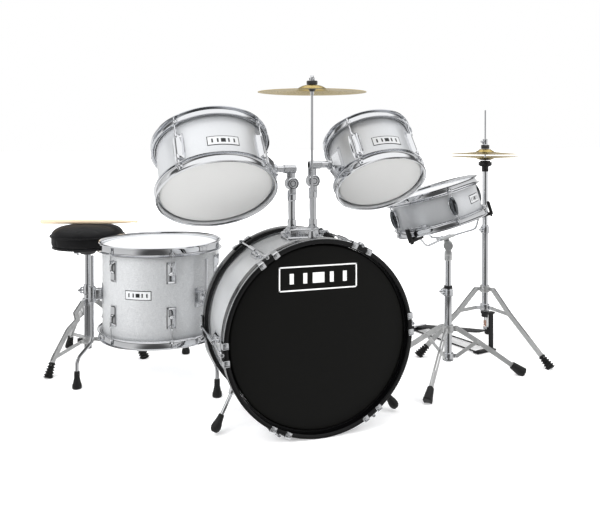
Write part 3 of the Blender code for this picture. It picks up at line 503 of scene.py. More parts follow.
class Nodes:
    """A small helper that builds a Principled material."""

    def __init__(self, name, colour, roughness, metallic=0.0, **inputs):
        self.material = bpy.data.materials.new(f"look_{name}")
        self.material.use_nodes = True
        self.tree = self.material.node_tree
        self.shader = self.tree.nodes["Principled BSDF"]
        self.shader.inputs["Base Color"].default_value = (*colour, 1)
        self.shader.inputs["Roughness"].default_value = roughness
        self.shader.inputs["Metallic"].default_value = metallic
        for key, value in inputs.items():
            self.shader.inputs[key.replace("_", " ")].default_value = value

    def node(self, kind, **values):
        made = self.tree.nodes.new(kind)
        for key, value in values.items():
            if key in made.inputs:
                made.inputs[key].default_value = value
            else:
                setattr(made, key, value)
        return made

    def link(self, source, target):
        self.tree.links.new(source, target)

    def coords(self, scale=(1, 1, 1)):
        where = self.node("ShaderNodeTexCoord")
        mapping = self.node("ShaderNodeMapping")
        mapping.inputs["Scale"].default_value = scale
        self.link(where.outputs["Object"], mapping.inputs["Vector"])
        return mapping.outputs["Vector"]

    def noise(self, scale, detail=4.0, roughness=0.55, stretch=(1, 1, 1)):
        made = self.node("ShaderNodeTexNoise", Scale=scale, Detail=detail, Roughness=roughness)
        self.link(self.coords(stretch), made.inputs["Vector"])
        return made.outputs["Fac"]

    def voronoi(self, scale, feature="F1"):
        made = self.node("ShaderNodeTexVoronoi", feature=feature, Scale=scale)
        self.link(self.coords(), made.inputs["Vector"])
        return made

    def ramp(self, source, *stops):
        return colour_ramp(self.tree, source, stops)

    def range(self, source, low, high, start=0.3, end=0.7):
        return map_range(self.tree, source, start, end, low, high)

    def colour(self, source):
        self.link(source, self.shader.inputs["Base Color"])
        return self

    def rough(self, source):
        self.link(source, self.shader.inputs["Roughness"])
        return self

    def bump(self, source, strength, distance=0.001):
        made = self.node("ShaderNodeBump", Strength=strength, Distance=distance)
        self.link(source, made.inputs["Height"])
        if self.shader.inputs["Normal"].is_linked:
            self.link(self.shader.inputs["Normal"].links[0].from_socket, made.inputs["Normal"])
        self.link(made.outputs["Normal"], self.shader.inputs["Normal"])
        return self


def chrome(name="chrome", colour=(0.8, 0.81, 0.83), low=0.045, high=0.1):
    made = Nodes(name, colour, low, 1.0)
    made.rough(made.range(made.noise(60, 3), low, high))
    made.bump(made.noise(90, 2), 0.02, 0.0004)
    return made.material


def satin_steel():
    made = Nodes("satin_steel", (0.52, 0.53, 0.53), 0.36, 0.85)
    grain = made.noise(260, 5, 0.6, (1, 1, 0.25))
    made.rough(made.range(grain, 0.3, 0.46))
    made.colour(made.ramp(made.noise(38, 4), (0.3, (0.6, 0.605, 0.605)), (0.7, (0.72, 0.725, 0.72))))
    return made.bump(grain, 0.06, 0.0003).material


def cast_metal():
    made = Nodes("cast_metal", (0.72, 0.73, 0.75), 0.22, 1.0)
    made.rough(made.range(made.noise(120, 4), 0.16, 0.3))
    return made.bump(made.noise(140, 3), 0.1, 0.0005).material


def satin_wrap():
    made = Nodes("silver_wrap", (0.6, 0.62, 0.645), 0.34, 0.45, Coat_Weight=0.3, Coat_Roughness=0.1)
    fine = made.noise(900, 3, 0.7)
    made.colour(made.ramp(fine, (0.25, (0.55, 0.565, 0.585)), (0.75, (0.7, 0.71, 0.725))))
    made.rough(made.range(fine, 0.3, 0.4))
    return made.bump(fine, 0.05, 0.0002).material


def sparkle_wrap():
    made = Nodes("sparkle_wrap", (0.6, 0.62, 0.645), 0.32, 0.35, Coat_Weight=0.45, Coat_Roughness=0.06)
    flakes = made.voronoi(1300)
    made.colour(
        made.ramp(
            flakes.outputs["Color"], (0.15, (0.46, 0.475, 0.49)), (0.55, (0.64, 0.65, 0.66)),
            (0.95, (0.86, 0.87, 0.88))
        )
    )
    made.rough(made.range(flakes.outputs["Distance"], 0.2, 0.42, 0.0, 0.7))
    return made.bump(flakes.outputs["Distance"], 0.1, 0.0002).material


def head_film(name, colour, roughness=0.42, specular=0.5):
    made = Nodes(name, colour, roughness, Specular_IOR_Level=specular)
    grain = made.noise(1400, 4, 0.7)
    dark = tuple(c * 0.97 for c in colour)
    made.colour(made.ramp(made.noise(6, 3), (0.35, dark), (0.7, colour)))
    made.rough(made.range(grain, roughness - 0.05, roughness + 0.08))
    return made.bump(grain, 0.07, 0.0002).material


def lacquer():
    made = Nodes(
        "black_lacquer", (0.0022, 0.0022, 0.0024), 0.16, Coat_Weight=0.25, Coat_Roughness=0.05,
        Specular_IOR_Level=0.25
    )
    made.rough(made.range(made.noise(30, 3), 0.13, 0.22))
    return made.bump(made.noise(160, 2), 0.015, 0.0003).material


def plain(name, colour, roughness, metallic=0.0, grain=240, bump=0.12):
    made = Nodes(name, colour, roughness, metallic)
    source = made.noise(grain, 4)
    made.rough(made.range(source, roughness - 0.07, roughness + 0.08))
    return made.bump(source, bump, 0.0005).material


def felt():
    made = Nodes("black_felt", (0.018, 0.018, 0.019), 0.95, Sheen_Weight=0.4)
    fibres = made.noise(1500, 6, 0.8)
    made.colour(made.ramp(fibres, (0.3, (0.01, 0.01, 0.011)), (0.8, (0.045, 0.045, 0.047))))
    return made.bump(fibres, 0.7, 0.0006).material


def vinyl():
    made = Nodes("black_vinyl", (0.006, 0.006, 0.0065), 0.5, Specular_IOR_Level=0.22)
    grain = made.voronoi(620, "SMOOTH_F1").outputs["Distance"]
    made.rough(made.range(grain, 0.42, 0.6, 0.1, 0.8))
    made.colour(made.ramp(made.noise(18, 4), (0.3, (0.004, 0.004, 0.0045)), (0.75, (0.008, 0.008, 0.0085))))
    made.bump(made.noise(70, 4), 0.1, 0.001)
    return made.bump(grain, 0.3, 0.0005).material


def brass():
    made = Nodes("cymbal_brass", (0.7, 0.52, 0.17), 0.26, 1.0)
    rings = made.node(
        "ShaderNodeTexWave", wave_type="RINGS", rings_direction="Z", Scale=330.0, Distortion=0.6
    )
    rings.inputs["Detail"].default_value = 2.0
    made.link(made.coords(), rings.inputs["Vector"])
    made.colour(
        made.ramp(
            rings.outputs["Fac"], (0.1, (0.64, 0.45, 0.13)), (0.6, (0.8, 0.61, 0.22)),
            (1.0, (0.9, 0.73, 0.32))
        )
    )
    made.rough(made.range(rings.outputs["Fac"], 0.18, 0.36, 0.0, 1.0))
    made.bump(made.noise(28, 2), 0.1, 0.0015)
    return made.bump(rings.outputs["Fac"], 0.22, 0.0003).material


def wood():
    made = Nodes("maple", (0.8, 0.62, 0.42), 0.48)
    grain = made.noise(90, 6, 0.6, (0.08, 1, 1))
    made.colour(
        made.ramp(grain, (0.3, (0.74, 0.54, 0.35)), (0.55, (0.84, 0.67, 0.47)), (0.8, (0.9, 0.76, 0.57)))
    )
    made.rough(made.range(grain, 0.42, 0.56))
    return made.bump(grain, 0.12, 0.0003).material


CHROME = chrome()
# A dark chrome used only for painted shade: the dark spindles in the snare lugs' hollows.
HOLLOW_SHADE_CHROME = chrome("hollow_shade_chrome", (0.16, 0.17, 0.18), 0.1, 0.18)
STEEL = satin_steel()
CAST = cast_metal()
SATIN_WRAP = satin_wrap()
SPARKLE_WRAP = sparkle_wrap()
WHITE_HEAD = head_film("white_head", (0.86, 0.87, 0.88))
GREY_HEAD = head_film("grey_head", (0.64, 0.64, 0.63), 0.45, 0.3)
BLACK_HEAD = head_film("black_head", (0.0034, 0.0034, 0.003), 0.4, 0.2)
BLACK_LACQUER = lacquer()
# Silver for the bass hoops' band, partly an inlay and partly a painted highlight line.
SILVER_INLAY_AND_HIGHLIGHT = plain("silver_inlay_and_highlight", (0.55, 0.56, 0.57), 0.3, 0.8, 400, 0.05)
RUBBER = plain("black_rubber", (0.006, 0.006, 0.006), 0.58, 0.0, 300, 0.25)
PLASTIC = plain("black_plastic", (0.01, 0.01, 0.011), 0.34, 0.0, 200, 0.1)
BLACK_STEEL = plain("black_steel", (0.014, 0.014, 0.015), 0.42, 0.4, 500, 0.15)
FELT = felt()
VINYL = vinyl()
BRASS = brass()
WOOD = wood()
BADGE_WHITE = plain("badge_white", (0.92, 0.92, 0.92), 0.35, 0.0, 300, 0.03)
BADGE_SILVER = plain("badge_silver", (0.62, 0.63, 0.64), 0.35, 0.0, 300, 0.03)
BADGE_BLACK = plain("badge_black", (0.012, 0.012, 0.012), 0.35, 0.0, 300, 0.03)
COPPER = plain("copper_spring", (0.72, 0.36, 0.2), 0.28, 1.0, 200, 0.05)

KIT = Matrix.Translation(-KIT_CENTRE)


def piece(name, body, material, shapes, matrix=IDENTITY, replaces=(), origin=None, sharp=38):
    place = KIT @ matrix
    inverse = (KIT @ Matrix.Translation(origin)).inverted() if origin is not None else IDENTITY
    points, faces = [], []
    for shape_points, shape_faces in shapes:
        start = len(points)
        points += [inverse @ (place @ p) for p in shape_points]
        faces += [[start + i for i in face] for face in shape_faces]
    mesh = bpy.data.meshes.new(name)
    mesh.from_pydata(points, [], faces)
    mesh.validate()
    mesh.shade_smooth()
    mesh.set_sharp_from_angle(angle=math.radians(sharp))
    mesh.materials.append(material)
    obj = bpy.data.objects.new(name, mesh)
    bpy.context.scene.collection.objects.link(obj)
    if origin is not None:
        obj.matrix_world = KIT @ Matrix.Translation(origin)
    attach(obj, body)
    if replaces:
        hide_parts(*replaces)
    return obj


# ---------------------------------------------------------------- drums


def sheet_ring(line, thickness, limit_radius, top, low, steps=128):
    """A ring of sheet metal that follows a line of (radius, height) points."""
    path = [Vector(p) for p in line]
    outer, inner = [], []
    for i, p in enumerate(path):
        before, after = path[max(i - 1, 0)], path[min(i + 1, len(path) - 1)]
        run = (after - before).normalized()
        normal = Vector((-run.y, run.x)) * thickness / 2
        outer.append(p + normal)
        inner.append(p - normal)
    points = [(min(p.x, limit_radius), min(max(p.y, low), top)) for p in outer + inner[::-1]]
    if sum(a[0] * b[1] - b[0] * a[1] for a, b in zip(points, points[1:] + points[:1])) > 0:
        points.reverse()
    return revolve(points, steps, ring=True)


def flip(shapes, end):
    """Shapes for the drum's top, or the same turned over for its bottom."""
    if end > 0:
        return shapes
    return moved_all(shapes, spin(180, "X"))


def at_angle(shapes, degrees):
    return moved_all(shapes, spin(degrees, "Z"))


def metal_hoop(d):
    """A flanged hoop on top of a drum whose middle is the origin."""
    rim, wall, hoop = d["depth"] / 2, d["shell"] + 0.0048, d["hoop"]
    low = rim - d["low"]
    line = [
        (wall + 0.0056, rim - 0.0042), (wall + 0.0052, rim - 0.002), (wall + 0.0036, rim - 0.0009),
        (wall + 0.0016, rim - 0.0014),
        (wall + 0.0005, rim - 0.0034), (wall + 0.0001, rim - 0.007), (wall, low + 0.008),
        (wall + 0.0006, low + 0.0045),
        (wall + 0.0022, low + 0.0024), (wall + 0.0044, low + 0.0015), (hoop - 0.0026, low + 0.0015),
        (hoop - 0.0011, low + 0.001),
        (hoop - 0.0009, low + 0.0001),
    ]
    return sheet_ring(line, 0.0017, hoop, rim, low - 0.0006)


def head_disc(d):
    """The stretched film, which turns down over the shell's edge to its flesh hoop."""
    edge, top = d["shell"], d["depth"] / 2 - 0.01
    outer = [
        (0, top), (edge * 0.5, top), (edge - 0.006, top), (edge - 0.0022, top - 0.0002),
        (edge - 0.0002, top - 0.001),
        (edge + 0.0012, top - 0.0026), (edge + 0.002, top - 0.006), (edge + 0.0022, top - 0.0095),
    ]
    inner = [(r - 0.0004, z - 0.0004) for r, z in reversed(outer[1:])]
    return revolve(outer + inner + [(0, top - 0.0004)], 96)


def flesh_hoop(d):
    edge, top = d["shell"] + 0.0032, d["depth"] / 2 - 0.01
    return revolve(
        [
            (edge - 0.0008, top - 0.0075), (edge + 0.001, top - 0.0075), (edge + 0.001, top - 0.0112),
            (edge - 0.0008, top - 0.0112)
        ],
        96, ring=True
    )


def shell_ring(d):
    edge = d["depth"] / 2 - 0.011
    r = d["shell"]
    corners = [
        (r - 0.0062, edge - 0.004), (r - 0.003, edge), (r - 0.0006, edge - 0.0012), (r, edge - 0.003),
        (r, 0.0), (r, 0.003 - edge),
        (r - 0.0006, 0.0012 - edge), (r - 0.003, -edge), (r - 0.0062, 0.004 - edge),
    ]
    return revolve(corners, 128, ring=True)


def relief(radius, low, high, width, height, rows=24, columns=16):
    """A raised shape on a cylinder about Z; width and height are functions of where a point lies."""
    points, faces = [], []
    for i in range(rows + 1):
        v = -1 + 2 * i / rows
        z = low + (high - low) * i / rows
        half = width(v)
        for k in range(columns + 1):
            u = -1 + 2 * k / columns
            a = u * half / radius
            r = radius + height(u * half, v)
            points.append(Vector((r * math.cos(a), r * math.sin(a), z)))
        for k in (columns, 0):
            a = (-1 + 2 * k / columns) * half / radius
            points.append(Vector(((radius - 0.0006) * math.cos(a), (radius - 0.0006) * math.sin(a), z)))
    count = columns + 3
    for i in range(rows):
        for k in range(count):
            m = (k + 1) % count
            faces.append([i * count + k, i * count + m, (i + 1) * count + m, (i + 1) * count + k])
    faces.append(list(range(count))[::-1])
    faces.append([rows * count + k for k in range(count)])
    return points, faces


def hump(x, half, power=2.0):
    """1 on the ridge, falling to 0 at half to either side."""
    return max(0.0, 1 - abs(x / half) ** power) ** 0.5


def step(x, start, end):
    t = min(max((x - start) / (end - start), 0.0), 1.0)
    return t * t * (3 - 2 * t)


def rack_lug_height(x, v):
    ridge = 0.0088 * hump(x, 0.0078, 2.4) * step(1 - abs(v), 0.0, 0.16)
    lip = 0.0012 * step(abs(x), 0.0105, 0.0125)
    return 0.0014 + lip + ridge


def floor_lug_height(x, v):
    bullet = 0.0098 * hump(x, 0.0074, 2.2) * hump(v - 0.38, 0.56, 2.6)
    panel = 0.003 * step(0.0092 - abs(x), 0.0, 0.0016) * step(0.9 - abs(v), 0.0, 0.08)
    return 0.0012 + max(bullet, panel)


def snare_lug_height(x, v):
    half = 0.0112 * hump(v, 1.0, 1.7) + 0.0002
    edge = abs(x) / half
    return 0.0012 + 0.004 * step(edge, 0.62, 0.78) * step(1.02 - edge, 0.0, 0.12)


LUG_SHAPES = {
    "rack": (lambda v: 0.0145 - 0.003 * v * v, rack_lug_height),
    "floor": (lambda v: 0.012, floor_lug_height),
    "snare": (lambda v: 0.0008 + 0.0112 * hump(v, 1.0, 1.7), snare_lug_height),
}


def lug(d, kind, height, ends):
    """A cast lug on the shell with a swivel nut at each rod's end."""
    half = d["lug_length"] / 2
    width, relief_height = LUG_SHAPES[kind]
    shape = relief(d["shell"], -half, half, width, relief_height)
    if kind == "floor" and ends[0] < 0:
        shape = moved(shape, spin(180, "X"))
    shapes = [shifted(shape, 0, 0, height)]
    for end in ends:
        z = height + end * (half - 0.004)
        shapes.append(
            cylinder(
                0.0042, (d["rod"], 0, z - end * 0.006), (d["rod"], 0, z + end * 0.006), 0.0036, steps=20
            )
        )
        if kind == "snare":
            shapes.append(rounded_box((0.007, 0.0072, 0.008), (d["shell"] + 0.0036, 0, z), 0.0016))
    return shapes


def tension_rod(d, inner_z, end):
    """The rod from a lug up through the hoop's ear, with washer and square head."""
    rim = d["depth"] / 2
    low = rim - d["low"]
    r = d["rod"]
    top = rim - 0.005
    shapes = [
        cylinder(0.0019, (r, 0, inner_z), (r, 0, low + 0.01), steps=14),
        cylinder(0.0044, (r, 0, low + 0.003), (r, 0, low + 0.0042), steps=20),
        cylinder(0.0038, (r, 0, low + 0.0042), (r, 0, low + 0.009), 0.0032, steps=20),
        rounded_box((0.004, 0.004, top - low - 0.008), (r, 0, (top + low + 0.008) / 2), 0.0005),
    ]
    return flip(shapes, end)


def hoop_ear(d):
    """The thicker tab of the hoop's flange that a rod goes through."""
    low = d["depth"] / 2 - d["low"]
    inner, outer = d["shell"] + 0.0046, d["hoop"] - 0.0003
    flat = rounded_box((outer - inner, 0.017, 0.0034), ((outer + inner) / 2, 0, low + 0.0018), 0.0014)
    web = rounded_box((0.0036, 0.012, 0.011), (inner + 0.0018, 0, low + 0.007), 0.0014)
    return [flat, web]


def drum_hardware(d, kind):
    """Hoops, ears, rods and lugs: (top, bottom, shell) lists of chrome shapes."""
    top, bottom, fixed = [metal_hoop(d)], flip([metal_hoop(d)], -1), []
    reach = d["lug_length"] / 2 - 0.004
    for degrees in d["lugs"]:
        top += at_angle(hoop_ear(d) + tension_rod(d, d["lug_at"][0] + reach, 1), degrees)
        bottom += at_angle(flip(hoop_ear(d), -1) + tension_rod(d, -(d["lug_at"][-1] - reach), -1), degrees)
        if len(d["lug_at"]) == 1:
            fixed += at_angle(lug(d, kind, d["lug_at"][0], (-1, 1)), degrees)
        else:
            for end, height in zip((1, -1), d["lug_at"]):
                fixed += at_angle(lug(d, kind, height, (end,)), degrees)
    return top, bottom, fixed


PATTERN = [
    (-0.34, 0.05, 0.42), (-0.17, 0.05, 0.42), (0.0, 0.15, 0.42), (0.17, 0.05, 0.42), (0.34, 0.05, 0.42)
]


def badge(name, body, d, degrees, height, matrix, width=0.07, tall=0.0235):
    """A name plate with a dark border and a plain pattern in place of lettering."""
    r = d["shell"]
    for layer, (material, inset, lift) in enumerate(
        ((BADGE_BLACK, 0, 0.0), (BADGE_SILVER, 0.0017, 0.0003))
    ):
        half = math.degrees((width / 2 - inset) / r)
        plate = curved_plate(
            r - 0.0002, 0.0007 + lift, half, height - tall / 2 + inset, height + tall / 2 - inset
        )
        piece(f"{name}_{layer}", body, material, at_angle([plate], degrees), matrix)
    marks = []
    for place, mark_width, mark_height in PATTERN:
        turn = math.degrees(place * width / r)
        half = math.degrees(mark_width * width / 2 / r)
        size = mark_height * tall / 2
        marks += at_angle([curved_plate(r, 0.0009, half, height - size, height + size, 3)], degrees + turn)
    piece(f"{name}_marks", body, BADGE_BLACK, marks, matrix)


def drum(kind, word, body, matrix, wrap, replaces, bottom_head, prefix):
    d = DRUMS[word]
    top, bottom, fixed = drum_hardware(d, kind)
    shell_node, top_node, bottom_node = replaces
    piece(f"{prefix}_shell_wrap", body, wrap, [shell_ring(d)], matrix, [shell_node])
    piece(f"{prefix}_lugs", body, CHROME, fixed, matrix, sharp=60)
    piece(f"{prefix}_top_hoop", body, CHROME, top, matrix, [top_node])
    piece(f"{prefix}_bottom_hoop", body, CHROME, bottom, matrix, [bottom_node] if bottom_node else [])
    piece(f"{prefix}_top_head", body, WHITE_HEAD, [head_disc(d)], matrix)
    piece(f"{prefix}_bottom_head", body, bottom_head, flip([head_disc(d)], -1), matrix)
    piece(f"{prefix}_flesh_hoops", body, CAST, [flesh_hoop(d)] + flip([flesh_hoop(d)], -1), matrix)


def holder_frame(word):
    h = HOLDERS[word]
    pivot = Vector((h["side"] * h["reach"], HOLDER_Y, h["pipe_z"]))
    tilt = spin(-h["tilt"], "X")
    return Matrix.Translation(pivot) @ tilt


def tom_bracket(side, reach, shell, height):
    """The hip-roofed casting on a rack tom's shell that slips over the holder's pipe."""
    aside = 180 if side > 0 else 0
    flange = curved_plate(
        shell - 0.0004, 0.0028, math.degrees(0.0325 / shell), height - 0.031, height + 0.031, 14
    )
    depth = reach + 0.0062
    turn = spin(90, "Y")
    housing = moved(rounded_box((0.054, 0.057, depth), (0, 0, depth / 2), 0.0024, 3, (0.5, 0.46)), turn)
    shapes = [flange, shifted(housing, shell - 0.006, 0, height)]
    shapes.append(
        cylinder(
            0.0136, (shell + 0.004, 0, height), (shell + reach + 0.0065, 0, height), 0.0126, steps=40,
            edge=0.0014
        )
    )
    for across in (-0.029, 0.029):
        for z in (-0.027, 0.027):
            screw = cylinder(
                0.0029, (shell + 0.001, 0, height + z), (shell + 0.0046, 0, height + z), 0.0023, steps=18
            )
            shapes += at_angle([screw], math.degrees(across / shell))
    shapes += wing_bolt(
        (shell + reach * 0.8, side * 0.006, height - 0.01), (0.2, side * 0.5, -1), 0.018, 0.0215, 0.011
    )
    return at_angle(shapes, aside)


def rack_tom(word):
    h, d = HOLDERS[word], DRUMS[word]
    side = h["side"]
    hinge = holder_frame(word)
    centre = Vector((side * (h["centre_x"] - h["reach"]), 0, h["rise"]))
    matrix = hinge @ Matrix.Translation(centre)
    body = f"tom_{word}"
    names = [f"tom_{word}_shell", f"tom_{word}_batter_hoop", f"tom_{word}_resonant_hoop"]
    drum("rack", word, body, matrix, SATIN_WRAP, names, GREY_HEAD, f"tom_{word}")
    badge(
        f"tom_{word}_badge", body, d, -90 if word == "left" else -93, -0.0135 if word == "left" else -0.014,
        matrix
    )
    bracket = tom_bracket(side, h["centre_x"] - h["reach"] - d["shell"], d["shell"], -h["rise"])
    piece(f"tom_{word}_bracket", body, CAST, bracket, matrix)


def tom_holder(word):
    h = HOLDERS[word]
    side = h["side"]
    at = Matrix.Translation((side * POST_X, HOLDER_Y, h["disc_z"]))
    drop = -h["disc_z"]
    top_z, low_z = HOLDER_TOP + drop, 0.365 + drop
    post = [
        turned(
            [
                (0, -0.016), (0.0088, -0.016), (0.0102, -0.0185), (0.0103, -0.0385), (0.0088, -0.0405),
                (0.0083, -0.041), (0.0083, low_z), (0, low_z)
            ],
            0.0006, 48
        ),
        sleeve(0.008, top_z + 0.019, (0.0102, top_z + 0.001), steps=48),
    ]
    knuckle = [
        moved(
            turned(
                [
                    (0, 0.0122), (0.012, 0.0122), (0.0148, 0.0098), (0.015, 0.0016), (0.0138, 0.0003),
                    (0, 0.0003)
                ],
                0.0006, 48
            ),
            spin(90, "X")
        ),
        rounded_box((0.0165, 0.0118, 0.021), (0, -0.0064, -0.015), 0.003, 3),
    ]
    piece(f"tom_{word}_post_tube", f"tom_{word}_post", CHROME, post, at, [f"tom_{word}_post"])
    piece(f"tom_{word}_post_knuckle", f"tom_{word}_post", CAST, knuckle, at)
    front_face = Matrix.Translation((0, -0.0122, 0)) @ spin(90, "X")
    face = [
        moved(
            revolve(
                [(r, 0.0002), (r + 0.0016, 0.0002), (r + 0.0014, 0.0007), (r + 0.0002, 0.0007)][::-1], 48,
                ring=True
            ),
            front_face
        )
        for r in (0.0104, 0.0056)
    ]
    piece(f"tom_{word}_ratchet_rings", f"tom_{word}_post", BLACK_STEEL, face, at)
    rise = h["pipe_z"] - h["disc_z"]
    inner, outer = -side * 0.01, side * (h["reach"] - POST_X + 0.008)
    arm = [
        moved(
            turned(
                [
                    (0, 0.0125), (0.0128, 0.0125), (0.015, 0.01), (0.015, 0.0012), (0.0142, 0.0003),
                    (0, 0.0003)
                ],
                0.0006, 48
            ),
            spin(-90, "X")
        ),
        rounded_box((0.0195, 0.0118, rise), (0, 0.0064, rise / 2 - 0.001), 0.003, 3),
        cylinder(0.01, (inner, 0, rise), (inner + side * 0.03, 0, rise), steps=40, edge=0.0012),
    ]
    piece(f"tom_{word}_arm_casting", f"tom_{word}_arm", CAST, arm, at, [f"tom_{word}_arm"])
    pipe = [cylinder(0.008, (inner, 0, rise), (outer, 0, rise), steps=40)]
    pipe.append(
        cylinder(0.0084, (inner + side * 0.03, 0, rise), (inner + side * 0.0325, 0, rise), steps=40)
    )
    piece(f"tom_{word}_arm_pipe", f"tom_{word}_arm", CHROME, pipe, at)


# ---------------------------------------------------------------- bass drum

OUT = Matrix.Translation((0, 0, BASS_RADIUS)) @ spin(90, "X")


def bass_frame(front):
    """Out of the front head, or the mirror of it about the drum's middle for the rear."""
    if front:
        return OUT
    return Matrix.Translation((0, BASS_DEPTH, BASS_RADIUS)) @ spin(-90, "X")


def claw():
    """A bracket whose two rounded tabs hook over the hoop's edge, either side of the rod's round head."""
    rim = BASS_RADIUS
    shapes = []
    for side in (-1, 1):
        y = side * 0.0185
        path = [
            (rim - 0.005, y, 0.0012), (rim + 0.0006, y, 0.0013), (rim + 0.002, y, 0.0),
            (rim + 0.0022, y, -0.02)
        ]
        shapes.append(ribbon(smooth_path(path, 0.002, 3), Vector((0, 1, 0)), 0.0126, 0.0018))
        shapes.append(rounded_box((0.0125, 0.014, 0.0028), (rim - 0.005, y, 0.0012), 0.0013, 3))
        shapes.append(rounded_box((0.007, 0.003, 0.0012), (rim - 0.0055, y, 0.0026), 0.0005, 2))
    shapes.append(rounded_box((0.0034, 0.048, 0.01), (rim + 0.0022, 0, -0.016), 0.0012, 2))
    shapes.append(
        cylinder(0.0064, (rim + 0.003, 0, -0.02), (rim + 0.003, 0, -0.0105), 0.0058, steps=32, edge=0.001)
    )
    return shapes


def ribbon(path, across, width, thickness):
    """A flat band along a path; across is its width's direction."""
    path = [Vector(p) for p in path]
    points, faces = [], []
    for i, p in enumerate(path):
        run = (path[min(i + 1, len(path) - 1)] - path[max(i - 1, 0)]).normalized()
        side = (across - run * across.dot(run)).normalized()
        normal = run.cross(side)
        for s, n in ((-1, -1), (1, -1), (1, 1), (-1, 1)):
            points.append(p + side * s * width / 2 + normal * n * thickness / 2)
    for i in range(len(path) - 1):
        for k in range(4):
            m = (k + 1) % 4
            faces.append([4 * i + k, 4 * i + m, 4 * i + 4 + m, 4 * i + 4 + k])
    last = 4 * (len(path) - 1)
    faces.append([3, 2, 1, 0])
    faces.append([last, last + 1, last + 2, last + 3])
    return points, faces


def t_rod():
    """The bass drum's rod with a round drum-key head in front of the claw."""
    r = BASS_RADIUS + 0.003
    return [
        cylinder(0.0023, (r, 0, -BASS_DEPTH / 2 + 0.02), (r, 0, -0.012), steps=16),
        cylinder(0.005, (r, 0, -0.011), (r, 0, -0.007), 0.0046, steps=28, edge=0.0008),
        shifted(sleeve(0.0019, -0.0008, (0.0042, -0.0075), steps=28, edge=0.0006), r, 0, 0),
    ]


def bass_end(front):
    word = "front" if front else "rear"
    m = bass_frame(front)
    inner, outer = BASS_HOOP_INNER, BASS_RADIUS - 0.0003
    corners = [
        (inner, -0.01), (inner, 0), (outer, 0), (outer, -BASS_HOOP_WIDTH), (inner, -BASS_HOOP_WIDTH),
        (inner, -0.02)
    ]
    hoop = revolve(rounded_profile(corners, 0.0022, 4), 160, ring=True)
    piece(f"bass_{word}_hoop_wood", ROOT, BLACK_LACQUER, [hoop], m, [f"bass_{word}_hoop"])
    # The silver band is partly an inlay and partly painted highlight: it stands in for the gloss line along
    # the lacquered hoop's front edge.
    band = revolve(
        [
            (outer - 0.0006, -0.0096), (outer + 0.0002, -0.0094), (outer + 0.0002, -0.0046),
            (outer - 0.0006, -0.0044)
        ],
        160, ring=True
    )
    piece(f"bass_{word}_hoop_inlay_and_highlight", ROOT, SILVER_INLAY_AND_HIGHLIGHT, [band], m)
    z = -BASS_HEAD_INSET
    film = [
        (0, z), (0.12, z), (0.1985, z), (0.2008, z - 0.0003), (0.2026, z - 0.0014), (0.2038, z - 0.0036),
        (0.2044, z - 0.009)
    ]
    back = [(r - 0.0005, h - 0.0005) for r, h in reversed(film[1:])]
    piece(
        f"bass_{word}_head", ROOT, BLACK_HEAD if front else WHITE_HEAD,
        [revolve(film + back + [(0, z - 0.0005)], 128)], m
    )
    ring = revolve(
        [(0.2046, z - 0.0045), (0.2072, z - 0.0045), (0.2072, z - 0.013), (0.2046, z - 0.013)], 128,
        ring=True
    )
    piece(f"bass_{word}_flesh_hoop", ROOT, BLACK_STEEL if front else CAST, [ring], m)
    pad = rounded_box((0.002, 0.05, 0.019), (BASS_RADIUS + 0.0001, 0, -0.012), 0.0006)
    metal, pads = [], []
    for degrees in BASS_LUG_ANGLES:
        if not front:
            degrees = -degrees
        metal += at_angle(claw() + t_rod(), degrees)
        pads += at_angle([pad], degrees)
    piece(f"bass_{word}_claws", ROOT, CHROME, metal, m)
    piece(f"bass_{word}_claw_pads", ROOT, RUBBER, pads, m)


def bass_plate():
    """A plate on the front head: a white border and a plain pattern of bars, with no lettering."""
    width, height, line = 0.181, 0.054, 0.003
    m = OUT @ Matrix.Translation((-0.004, 0.132, -BASS_HEAD_INSET))
    white = []
    for side in (-1, 1):
        white.append(rounded_box((width, line, 0.0007), (0, side * (height - line) / 2, 0.0002), 0.0002, 1))
        white.append(rounded_box((line, height, 0.0007), (side * (width - line) / 2, 0, 0.0002), 0.0002, 1))
    for place, mark_width, mark_height in PATTERN:
        size = (mark_width * width, mark_height * height, 0.0005)
        white.append(rounded_box(size, (place * width, 0, 0.0003), 0.0001, 1))
    piece("bass_plate_lines", ROOT, BADGE_WHITE, white, m)


def bass_shell():
    edge = BASS_HEAD_INSET + 0.0016
    r = BASS_SHELL
    corners = [
        (r - 0.006, -edge - 0.002), (r - 0.003, -edge), (r, -edge - 0.002), (r, edge - BASS_DEPTH + 0.002),
        (r - 0.003, edge - BASS_DEPTH), (r - 0.006, edge - BASS_DEPTH + 0.002)
    ]
    piece("bass_shell_wrap", ROOT, SPARKLE_WRAP, [revolve(corners, 160, ring=True)], OUT, ["bass_shell"])
    middle = -BASS_DEPTH / 2
    lugs = []
    for degrees in BASS_LUG_ANGLES:
        plate = curved_plate(r - 0.0004, 0.002, math.degrees(0.012 / r), middle - 0.028, middle + 0.028, 8)
        body_shape = shifted(
            relief(
                r, -0.025, 0.025, lambda v: 0.009, lambda x, v: 0.011 * hump(x, 0.0086) * hump(v, 1.0, 3)
            ),
            0, 0, middle
        )
        tube_shape = cylinder(
            0.0046, (BASS_RADIUS + 0.003, 0, middle - 0.025), (BASS_RADIUS + 0.003, 0, middle + 0.025),
            steps=28, edge=0.0008
        )
        web = rounded_box((0.01, 0.0064, 0.032), (r + 0.012, 0, middle), 0.0022, 2)
        lugs += at_angle([plate, body_shape, tube_shape, web], degrees)
    piece("bass_lugs", ROOT, CHROME, lugs, OUT)
    vent = [
        revolve(
            [(0.003, 0.0012), (0.0062, 0.001), (0.0068, 0.0), (0.0068, -0.002), (0.003, -0.002)], 32,
            ring=True
        )
    ]
    place = Matrix.Translation((0, 0, BASS_RADIUS)) @ spin(-34, "Y") @ Matrix.Translation(
        (0, 0.09, BASS_SHELL)
    )
    piece("bass_vent_grommet", ROOT, CHROME, vent, place)


